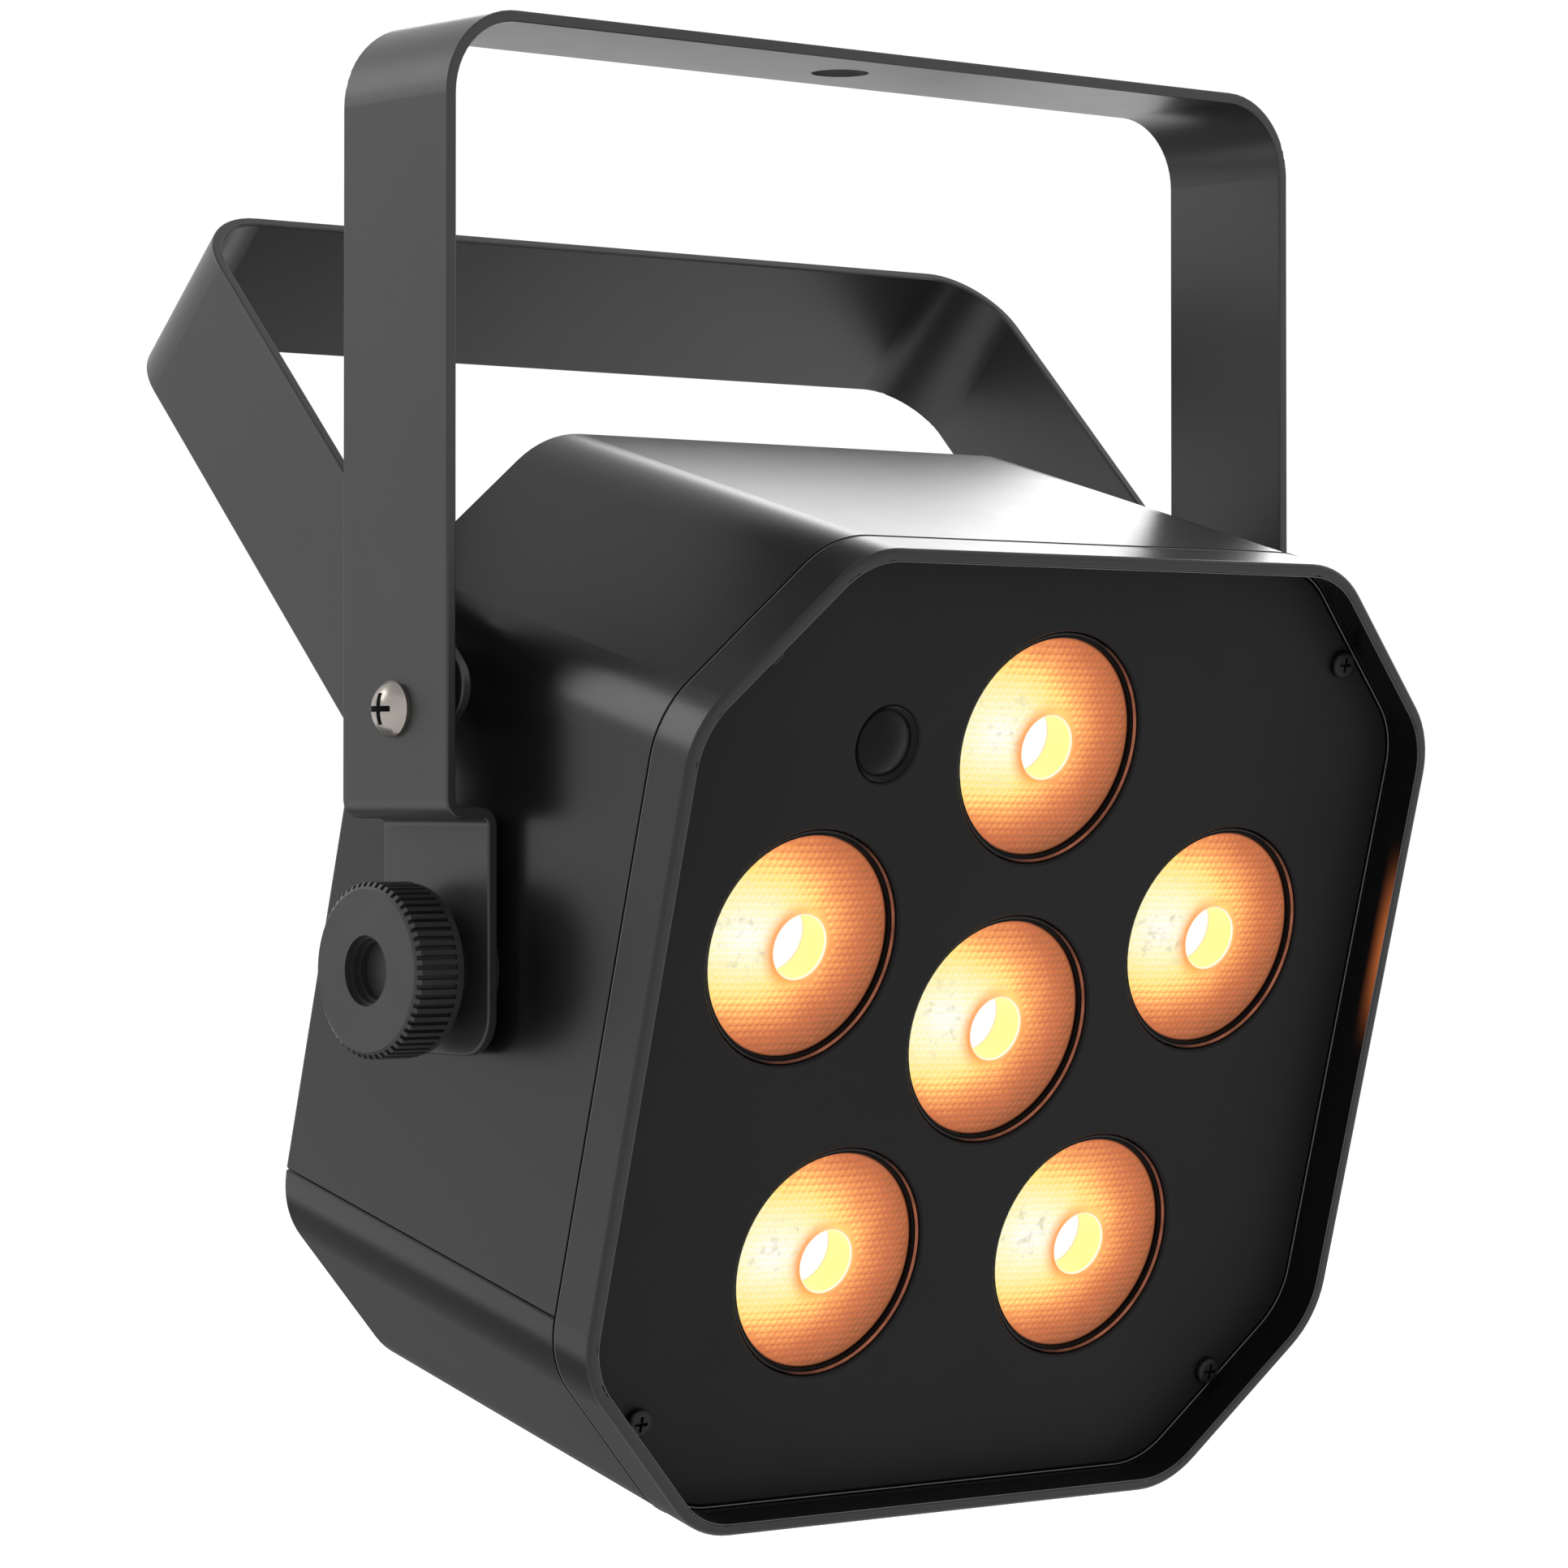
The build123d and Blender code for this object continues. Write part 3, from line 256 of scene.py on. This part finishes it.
def lens_place(node):
    """A lens's middle, across and up on the head."""
    points = [v.co - TILT_CENTRE for v in nodes[node].data.vertices]

    def halfway(direction):
        reach = [p.dot(direction) for p in points]
        return (min(reach) + max(reach)) / 2

    return halfway(ACROSS), halfway(UP)


def lit_lens(name, centre):
    """A clear lens with the light behind it: hottest beside its middle, amber towards its far edge."""
    s = Shader(name).set(Roughness=0.3, Specular_IOR_Level=0.1, Emission_Strength=1.0)
    s.surface.inputs["Base Color"].default_value = (0.02, 0.012, 0.006, 1)
    from_centre = s.vector("SUBTRACT", s.place, TILT_CENTRE)
    across = s.maths("SUBTRACT", s.vector("DOT_PRODUCT", from_centre, ACROSS), centre[0])
    up = s.maths("SUBTRACT", s.vector("DOT_PRODUCT", from_centre, UP), centre[1])
    out = s.vector("DOT_PRODUCT", from_centre, BEAM)
    radius = s.root_of_squares(across, up)

    side = s.maths("DIVIDE", s.maths("SUBTRACT", across, HOT_SPOT[0]), GLOW_SPAN[0])
    rise = s.maths("DIVIDE", s.maths("SUBTRACT", up, HOT_SPOT[1]), GLOW_SPAN[1])
    away = s.root_of_squares(side, rise)

    # each small facet shows a little more or less of the light, by the way that it leans
    lean = s.vector("DOT_PRODUCT", s.normal(), UP * 0.9 - ACROSS * 0.45)
    away = s.maths("SUBTRACT", away, s.maths("MULTIPLY", lean, 0.36))
    uneven = s.spread(s.noise(190, 3), 0.3, 0.7, -0.035, 0.035)
    away = s.maths("ADD", away, uneven)
    face = s.ramp(s.maths("DIVIDE", away, GLOW_END, clamp=True), GLOW)

    # faint grey flecks in the hottest part, where the chip's own pattern shows
    fleck = s.spread(s.noise(430, 4, 0.65), 0.55, 0.68, 0.0, 0.75)
    hottest = s.spread(away, 0.62, 0.2, 0.0, 1.0)
    face = s.blend(s.maths("MULTIPLY", fleck, hottest, clamp=True), face, srgb(212, 206, 172))

    # the amber halo beside the well, strongest on the hot side
    near = s.spread(radius, 9.0 * MM, 6.3 * MM, 0.0, 1.0)
    hot_side = s.spread(across, 4 * MM, -5 * MM, 0.0, 0.85)
    halo = s.maths("MULTIPLY", s.maths("POWER", near, 1.6), hot_side, clamp=True)
    face = s.blend(halo, face, srgb(252, 150, 66))

    # the well, by its depth, with a painted highlight at its lip
    depth = s.spread(out, WELL_FLOOR_OUT, LENS_EDGE_OUT + LENS_CROWN, 0.0, 1.0)
    well = s.ramp(depth, WELL_COLOURS)
    inside_lip = s.spread(radius, WELL_MOUTH + 0.3 * MM, WELL_MOUTH + 0.1 * MM, 0.0, 1.0)
    by_wall = s.spread(radius, WELL + 0.3 * MM, WELL + 0.1 * MM, 0.0, 1.0)
    under_lip = s.spread(out, LENS_EDGE_OUT + 0.5 * MM, LENS_EDGE_OUT + 0.2 * MM, 0.0, 1.0)
    in_well = s.maths("MAXIMUM", inside_lip, s.maths("MULTIPLY", by_wall, under_lip))
    face = s.blend(in_well, face, well)

    # the rim's side is dark
    rim = s.spread(radius, LENS_RIM - 0.35 * MM, LENS_RIM - 0.05 * MM, 0.0, 0.8)
    face = s.blend(rim, face, srgb(70, 40, 26))
    s.glow(face)
    return s


FACET_PITCH = 1.4 * MM
FACET_RISE = 0.21 * MM


def crown(radius):
    """How far out the lens's face stands at a radius."""
    share = (radius - WELL) / (LENS_RIM - WELL)
    return LENS_EDGE_OUT + LENS_CROWN * (1 - share * share)


def lens_facets(name, centre):
    """The honeycomb of small domes moulded into a lens's face."""
    mesh = bmesh.new()
    row_height = FACET_PITCH * sqrt(3) / 2
    rows = int(LENS_RIM / row_height)
    corner = FACET_PITCH / sqrt(3)
    for row in range(-rows, rows + 1):
        shift = FACET_PITCH / 2 if row % 2 else 0
        columns = int(LENS_RIM / FACET_PITCH) + 1
        for column in range(-columns, columns + 1):
            x = column * FACET_PITCH + shift
            u = row * row_height
            radius = hypot(x, u)
            if not WELL + 1.0 * MM < radius < LENS_RIM - 0.75 * MM:
                continue
            rim = []
            for step in range(6):
                turn = pi / 6 + step * pi / 3
                cx, cu = x + corner * cos(turn), u + corner * sin(turn)
                rim.append(mesh.verts.new(on_head(centre[0] + cx, centre[1] + cu, crown(hypot(cx, cu)))))
            top = mesh.verts.new(on_head(centre[0] + x, centre[1] + u, crown(radius) + FACET_RISE))
            for step in range(6):
                mesh.faces.new((rim[step], rim[(step + 1) % 6], top))
    bmesh.ops.remove_doubles(mesh, verts=mesh.verts, dist=0.02 * MM)
    return finished_mesh(name, mesh, smooth=False)


def finished_mesh(name, mesh, smooth=True):
    """Turns a bmesh into an object of the scene, with its faces pointing outwards."""
    bmesh.ops.recalc_face_normals(mesh, faces=mesh.faces)
    data = bpy.data.meshes.new(name)
    mesh.to_mesh(data)
    mesh.free()
    piece = bpy.data.objects.new(name, data)
    bpy.context.scene.collection.objects.link(piece)
    if smooth:
        data.polygons.foreach_set("use_smooth", [True] * len(data.polygons))
    return piece


# ---------------------------------------------------------------- materials for each slot of the record
def housing_paint(name, colour):
    return painted(name, colour, 0.26, 1.5e-6, 1700, specular=0.43)


def display_glass():
    """Smoked clear plastic over the display."""
    s = Shader("display_glass").set(Roughness=0.06, Transmission_Weight=0.9, IOR=1.46)
    s.colour(s.ramp(s.noise(40, 2), [(0.3, srgb(96, 96, 100)), (0.7, srgb(108, 108, 112))]))
    s.bump(s.noise(300, 2), 1e-6)
    return s


finishes = {
    "black_strip": lambda: painted("black_strip", (0.016, 0.016, 0.0165), 0.34, 5e-6, 1900),
    "black_housing": lambda: housing_paint("black_housing", (0.0035, 0.0035, 0.0037)),
    "black_plate": lambda: painted("black_plate", (0.0095, 0.0095, 0.0098), 0.5, 4e-6, 2600, specular=0.1),
    "black_knob": lambda: moulded("black_knob", (0.014, 0.014, 0.0145), 0.45, 8e-6, 2400),
    "black_moulding": lambda: moulded("black_moulding", (0.008, 0.008, 0.008), 0.5, 1e-5, 2000),
    "dark_window": lambda: moulded("dark_window", (0.0012, 0.0012, 0.0012), 0.3, 1e-6, 400, specular=0.13),
    "plated_steel": lambda: metal("plated_steel", srgb(156, 150, 144), 0.24, (1, 1, 3), 260, 1e-6),
    "dark_steel": lambda: metal("dark_steel", srgb(46, 46, 48), 0.5, (1, 1, 1), 900, 1e-6),
    "brass": lambda: metal("brass", srgb(214, 178, 104), 0.3, (6, 1, 1), 800),
    "nylon": lambda: moulded("nylon", srgb(214, 210, 200), 0.45, 6e-6, 900),
    "rubber": lambda: moulded("rubber", srgb(34, 34, 34), 0.75, 2e-5, 1600, specular=0.3),
    "sink_aluminium": lambda: metal("sink_aluminium", srgb(200, 202, 205), 0.38, (1, 8, 1), 700),
    "chassis_sheet": lambda: metal("chassis_sheet", srgb(176, 178, 180), 0.42, (12, 1, 1), 500),
    "white_board": lambda: moulded("white_board", srgb(232, 232, 226), 0.35, 4e-6, 1200),
    "green_board": lambda: moulded("green_board", srgb(24, 92, 52), 0.32, 8e-6, 1500),
    "led_package": lambda: moulded("led_package", srgb(246, 226, 150), 0.3, 3e-6, 1500),
    "cell_sleeve": lambda: moulded("cell_sleeve", srgb(44, 96, 150), 0.28, 4e-6, 700),
    "can_component": lambda: metal("can_component", srgb(186, 188, 190), 0.3, (1, 1, 8), 700),
    "display_glass": display_glass,
}
holder_black = moulded("holder_black", (0.002, 0.002, 0.002), 0.55, 6e-6, 2000, specular=0.08).material

BEZEL_INSIDE = 84.85 * MM
GLINT_SOURCE_OUT = 46 * MM
GLINT_INNER_OUT = 48.4 * MM
GLINT_OUTER_OUT = 51.2 * MM
LENSES = [f"lens_{number}" for number in range(1, 7)]


def bezel_paint_and_glint(name, colour):
    """The housing's paint, with a painted reflection of the lenses' amber light on the inside of the bezel
    beside them.
    """
    s = housing_paint(name, colour).set(Emission_Strength=1.0)
    total = 0.0
    # a painted glint of each near lens's amber light on the bezel's inner wall
    for lens in ("lens_2", "lens_3", "lens_6"):
        across, up = lens_place(lens)
        reach = BEZEL_INSIDE - max(abs(across), abs(up))
        toward = s.vector("SUBTRACT", on_head(across, up, GLINT_SOURCE_OUT), s.place)
        close = s.spread(s.vector("LENGTH", toward), reach + 6 * MM, reach + 0.4 * MM, 0.0, 1.0)
        facing = s.vector("DOT_PRODUCT", s.vector("NORMALIZE", toward), s.normal())
        turned = s.spread(facing, 0.7, 0.95, 0.0, 1.0)
        glint = s.maths("MULTIPLY", s.maths("POWER", close, 2.0), turned, clamp=True)
        total = s.maths("ADD", total, glint, clamp=True)
    out = s.vector("DOT_PRODUCT", s.vector("SUBTRACT", s.place, TILT_CENTRE), BEAM)
    by_rim = s.spread(out, GLINT_INNER_OUT, GLINT_OUTER_OUT, 0.0, 1.0)
    total = s.maths("MULTIPLY", total, s.maths("POWER", by_rim, 1.5))
    s.glow(s.ramp(total, [(0.0, (0, 0, 0)), (1.0, srgb(158, 84, 42))]))
    return s


bezel_finish = bezel_paint_and_glint("bezel_paint_and_glint", (0.0035, 0.0035, 0.0037)).material
made = {slot: make().material for slot, make in finishes.items()}
for node, piece in nodes.items():
    if slot_of[node] == "lit_lens":
        finish = lit_lens(node + "_glow", lens_place(node)).material
    elif node == "lens_holders":
        finish = holder_black
    elif node == "front_bezel":
        finish = bezel_finish
    else:
        finish = made[slot_of[node]]
    for material_slot in piece.material_slots:
        material_slot.material = finish


def add_piece(piece, finish, body):
    """Gives a new piece its material and the body that it moves with."""
    piece.data.materials.append(finish)
    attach(piece, body)


for node in LENSES:
    facets = lens_facets(f"{node}_facets", lens_place(node))
    add_piece(facets, nodes[node].material_slots[0].material, "head")

# ---------------------------------------------------------------- lines and rings on the head
HEAD_HALF = (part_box("front_bezel")[1].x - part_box("front_bezel")[0].x) / 2
HEAD_CUT = 31 * MM
HEAD_CORNER = 18 * MM
BEZEL_SEAM_OUT = 42 * MM
RIM_FACE_OUT = 51.9 * MM
RIM_WALL = 2.15 * MM
PLATE_FACE_OUT = 44.2 * MM
ARC_STEPS = 10


def octagon(inset):
    """The head's outline, set in by inset: eight straight sides joined by arcs, as points across and up."""
    half = HEAD_HALF - inset
    flat = HEAD_HALF - HEAD_CUT - inset * (sqrt(2) - 1)
    radius = HEAD_CORNER - inset
    corners = [(half, flat), (flat, half), (-flat, half), (-half, flat),
               (-half, -flat), (-flat, -half), (flat, -half), (half, -flat)]
    points = []
    reach = radius / cos(pi / 8)
    for number, corner in enumerate(corners):
        middle_turn = pi / 8 + number * pi / 4
        centre = Vector(corner) - Vector((cos(middle_turn), sin(middle_turn))) * reach
        for step in range(ARC_STEPS + 1):
            turn = middle_turn + (step / ARC_STEPS - 0.5) * pi / 4
            points.append((centre.x + radius * cos(turn), centre.y + radius * sin(turn)))
    return points


def join_loops(mesh, near, far):
    """Faces between two closed loops with equal numbers of points."""
    for step in range(len(near)):
        after = (step + 1) % len(near)
        mesh.faces.new((near[step], near[after], far[after], far[step]))


def band(name, outline, section):
    """Sweeps a closed section, as pairs of inset and distance out, round an outline on the head."""
    mesh = bmesh.new()
    loops = [[mesh.verts.new(on_head(x, u, out)) for x, u in outline(inset)] for inset, out in section]
    for near, far in zip(loops, loops[1:] + loops[:1]):
        join_loops(mesh, near, far)
    return finished_mesh(name, mesh, smooth=False)


def around(steps):
    """Unit steps round a circle, as pairs of cosine and sine."""
    turns = [2 * pi * n / steps for n in range(steps)]
    return [(cos(turn), sin(turn)) for turn in turns]


def rounded(inset, out, radius):
    """A round section for band()."""
    return [(inset + radius * c, out + radius * s) for c, s in around(8)]


def circle_round(centre, radius):
    """A circle round a lens for band(), which sets it in as it does the octagon."""

    def circle(inset):
        return [(centre[0] + (radius - inset) * c, centre[1] + (radius - inset) * s) for c, s in around(96)]

    return circle


# black that paints the shade in the bezel's seam and inside the screws' cross recesses
painted_shade_black = moulded("painted_shade_black", (0.001, 0.001, 0.001), 0.7, 5e-6, 1500, specular=0.05).material
# light grey that paints a highlight along an edge
painted_edge_highlight = moulded("painted_edge_highlight", (0.08, 0.08, 0.08), 0.3, 3e-6, 1500).material
# lighter grey with the bezel's painted glint: a painted highlight along the rim's inner edge
inner_edge_highlight = bezel_paint_and_glint("bezel_inner_edge", (0.05, 0.05, 0.05)).material
LINES = {  # each line's finish, slot and section
    # a dark line along the real joint of bezel and housing; its black is painted shade in the joint
    "bezel_seam_shade": (
        painted_shade_black, "rubber", rounded(0.06 * MM, BEZEL_SEAM_OUT - 0.05 * MM, 0.2 * MM)),
    # a painted highlight along the seam's edge
    "bezel_seam_edge": (
        painted_edge_highlight, "black_housing", rounded(0.07 * MM, BEZEL_SEAM_OUT + 0.32 * MM, 0.13 * MM)),
    # a painted highlight and painted glint along the rim's inner edge
    "bezel_inner_edge": (
        inner_edge_highlight, "black_housing", rounded(RIM_WALL + 0.05 * MM, RIM_FACE_OUT - 0.2 * MM, 0.12 * MM)),
    # a painted highlight along the plate's edge
    "plate_edge_line": (
        painted_edge_highlight, "black_plate", rounded(RIM_WALL + 0.3 * MM, PLATE_FACE_OUT + 0.06 * MM, 0.13 * MM)),
}
for name, (finish, slot, section) in LINES.items():
    add_piece(band(name, octagon, section), finish, "head")

LENS_RING = 20.4 * MM
LENS_RING_OUT = 43.3 * MM
LENS_RING_THICK = 0.26 * MM
LIP_OVERLAP = 0.05 * MM
LIP_HALF_HEIGHT = 0.3 * MM
LIP_PROUD = 0.02 * MM


def lens_ring(name, centre):
    """The thin ring round a lens, with a painted reflection of the lens's light on its far side."""
    return band(name, circle_round(centre, LENS_RING), rounded(0.0, LENS_RING_OUT, LENS_RING_THICK))


def lens_lip(name, centre):
    """The rounded lip that narrows the mouth of a lens's well."""
    half_width = (WELL - WELL_MOUTH) / 2 + LIP_OVERLAP
    middle_out = crown(WELL) - LIP_HALF_HEIGHT + LIP_PROUD
    section = [(half_width * c, middle_out + LIP_HALF_HEIGHT * s) for c, s in around(12)]
    return band(name, circle_round(centre, (WELL + WELL_MOUTH) / 2 + LIP_OVERLAP), section)


def ring_painted_reflection(name, centre):
    """Black plastic with a painted reflection of the lens's amber light across from the hot spot."""
    s = Shader(name).set(Roughness=0.3, Specular_IOR_Level=0.2, Emission_Strength=1.0)
    s.surface.inputs["Base Color"].default_value = (0.003, 0.002, 0.002, 1)
    from_centre = s.vector("SUBTRACT", s.place, on_head(centre[0], centre[1], 0))
    far_side = s.vector("DOT_PRODUCT", from_centre, ACROSS * 0.94 - UP * 0.34)
    lit = s.spread(far_side, 2 * MM, 15 * MM, 0.0, 1.0)
    broken = s.spread(s.noise(260, 3), 0.35, 0.65, 0.55, 1.0)
    share = s.maths("MULTIPLY", lit, broken, clamp=True)
    s.glow(s.ramp(share, [(0.0, (0, 0, 0)), (1.0, srgb(150, 88, 64))]))
    return s


for node in LENSES:
    centre = lens_place(node)
    glow = ring_painted_reflection(f"{node}_ring_painted_reflection", centre).material
    add_piece(lens_ring(f"{node}_hole_edge", centre), glow, "head")
    lip = lens_lip(f"{node}_lip", centre)
    add_piece(lip, nodes[node].material_slots[0].material, "head")

# ---------------------------------------------------------------- the cross recess in each pivot screw
SCREWS_LOW, SCREWS_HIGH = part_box("pivot_screws")
SCREWS_MIDDLE = (SCREWS_LOW + SCREWS_HIGH) / 2
CROSS_REACH = 2.7 * MM
CROSS_HALF_WIDTH = 0.5 * MM
CROSS_STEPS = 8
CAP_REACH = 3.9 * MM
CAP_RINGS = 7
CAP_LIFT = 0.04 * MM
CAP_EDGE_LIFT = -0.01 * MM
CROSS_PROUD = 0.08 * MM
CROSS_SUNK = 0.3 * MM
DOME_RADIUS = 4.9 * MM  # the arc that turns into the screw head's dome, and where its centre stands
DOME_DEPTH = 4.861 * MM
DOME_OFFSET = 0.613 * MM


def dome(radius):
    """How far the pan head stands in from its top at a radius."""
    return DOME_DEPTH - sqrt(DOME_RADIUS ** 2 - (radius - DOME_OFFSET) ** 2)


def cross_recess(name, side):
    """The cross that the driver fits, laid over the head's dome; its black is painted shade inside the
    recess.
    """
    mesh = bmesh.new()
    level, upright = Vector((0, 1, 0)), Vector((0, 0, 1))
    for along, beside in ((level, upright), (upright, level)):
        rows = []
        for step in range(CROSS_STEPS + 1):
            reach = CROSS_REACH * (2 * step / CROSS_STEPS - 1)
            row = []
            for width, sunk in ((-1, -CROSS_PROUD), (1, -CROSS_PROUD), (1, CROSS_SUNK), (-1, CROSS_SUNK)):
                half = CROSS_HALF_WIDTH * width
                point = SCREWS_MIDDLE + along * reach + beside * half
                point.x = side * (SCREWS_HIGH.x - dome(hypot(reach, half)) - sunk)
                row.append(mesh.verts.new(point))
            rows.append(row)
        for near, far in zip(rows, rows[1:]):
            join_loops(mesh, near, far)
        mesh.faces.new(rows[0])
        mesh.faces.new(rows[-1])
    return finished_mesh(name, mesh, smooth=False)


def dome_cap(name, side):
    """A thin skin over the head's dome, so that its cross shows upright. Its edge dips into the head."""
    mesh = bmesh.new()
    circles = []
    for ring in range(1, CAP_RINGS + 1):
        radius = CAP_REACH * ring / CAP_RINGS
        lift = CAP_EDGE_LIFT if ring == CAP_RINGS else CAP_LIFT
        x = side * (SCREWS_HIGH.x - dome(radius) + lift)
        circles.append([
            mesh.verts.new((x, SCREWS_MIDDLE.y + radius * c, SCREWS_MIDDLE.z + radius * s))
            for c, s in around(40)
        ])
    mesh.faces.new(circles[0])
    for near, far in zip(circles, circles[1:]):
        join_loops(mesh, near, far)
    return finished_mesh(name, mesh)


for side_name, side in (("left", -1), ("right", 1)):
    cap = dome_cap(f"{side_name}_screw_cap", side)
    add_piece(cap, made["plated_steel"], "front_yoke")
    cross = cross_recess(f"{side_name}_screw_cross", side)
    # the cross's black is painted shade inside the recess
    add_piece(cross, painted_shade_black, "front_yoke")

# ---------------------------------------------------------------- floor, lights and camera
FLOOR_BELOW = 0.10
floor_mesh = bmesh.new()
bmesh.ops.create_circle(floor_mesh, cap_ends=True, radius=6.0, segments=96)
floor = finished_mesh("floor", floor_mesh, smooth=False)
floor.location.z = cad_box[0].z - FLOOR_BELOW
floor_paint = Shader("floor_paint").set(Roughness=0.7, Emission_Strength=0.25)
floor_paint.surface.inputs["Emission Color"].default_value = (1, 1, 1, 1)
floor_tone = floor_paint.noise(3, 3)
floor_paint.colour(floor_paint.ramp(floor_tone, [(0.3, (0.86, 0.86, 0.86)), (0.7, (0.9, 0.9, 0.9))]))
floor.data.materials.append(floor_paint.material)

# a grey card on the floor behind the lamp, which only the reflections see: a painted shadow of the lamp on
# the floor
card_mesh = bmesh.new()
bmesh.ops.create_grid(card_mesh, x_segments=1, y_segments=1, size=1)
card = finished_mesh("painted_shadow_card", card_mesh, smooth=False)
card.scale = (0.24, 0.34, 1)
card.location = (0.0, 0.44, floor.location.z + 0.001)
card.visible_camera = False
card.visible_diffuse = False
card.visible_shadow = False
shadow_card_paint = Shader("shadow_card_paint").set(Roughness=0.9, Specular_IOR_Level=0.0)
card_tone = shadow_card_paint.noise(50)
shadow_card_paint.colour(shadow_card_paint.ramp(card_tone, [(0.3, (0.23, 0.23, 0.23)), (0.7, (0.26, 0.26, 0.26))]))
card.data.materials.append(shadow_card_paint.material)

world = bpy.data.worlds.new("studio")
world.use_nodes = True
bpy.context.scene.world = world
sky = world.node_tree.nodes["Background"]
direction = world.node_tree.nodes.new("ShaderNodeTexCoord")
height = world.node_tree.nodes.new("ShaderNodeSeparateXYZ")
upward = world.node_tree.nodes.new("ShaderNodeMapRange")
upward.inputs["From Min"].default_value = -1
walls = world.node_tree.nodes.new("ShaderNodeValToRGB")
STUDIO = [  # brightness by height, from straight down at 0 to straight up at 1
    (0.80, 1.0),
    (0.92, 0.7),
]
while len(walls.color_ramp.elements) < len(STUDIO):
    walls.color_ramp.elements.new(0.5)
for element, (position, value) in zip(walls.color_ramp.elements, STUDIO):
    element.position = position
    element.color = (value, value, value, 1)
world.node_tree.links.new(direction.outputs["Generated"], height.inputs[0])
world.node_tree.links.new(height.outputs["Z"], upward.inputs["Value"])
world.node_tree.links.new(upward.outputs["Result"], walls.inputs["Fac"])
world.node_tree.links.new(walls.outputs["Color"], sky.inputs["Color"])
sky.inputs["Strength"].default_value = 1.03


def soft_light(name, place, target, width, height, power):
    """A rectangular softbox that faces target."""
    data = bpy.data.lights.new(name, "AREA")
    data.shape = "RECTANGLE"
    data.size = width
    data.size_y = height
    data.energy = power
    lamp = bpy.data.objects.new(name, data)
    lamp.location = place
    lamp.rotation_euler = (Vector(target) - Vector(place)).to_track_quat("-Z", "Y").to_euler()
    bpy.context.scene.collection.objects.link(lamp)
    return lamp


middle = (cad_box[0] + cad_box[1]) / 2
soft_light("back_right_softbox", middle + Vector((1.3, 1.35, 0.8)), middle, 0.9, 0.9, 7.3)
soft_light("back_left_softbox", middle + Vector((-1.17, 1.27, 1.0)), middle, 0.95, 0.95, 6.5)

YAW = 39.95
PITCH = 1.03
camera_data = bpy.data.cameras.new("camera")
camera_data.sensor_width = 36
camera_data.lens = 126.2
camera_data.shift_x = 0.0135
camera_data.shift_y = -0.0526
camera_data.dof.use_dof = False
camera = bpy.data.objects.new("camera", camera_data)
camera.location = (-0.6512, -0.7556, -0.1342)
camera.rotation_euler = Euler((radians(90 + PITCH), 0, radians(-YAW)))
bpy.context.scene.collection.objects.link(camera)
bpy.context.scene.camera = camera
bpy.context.scene.view_settings.view_transform = "Standard"
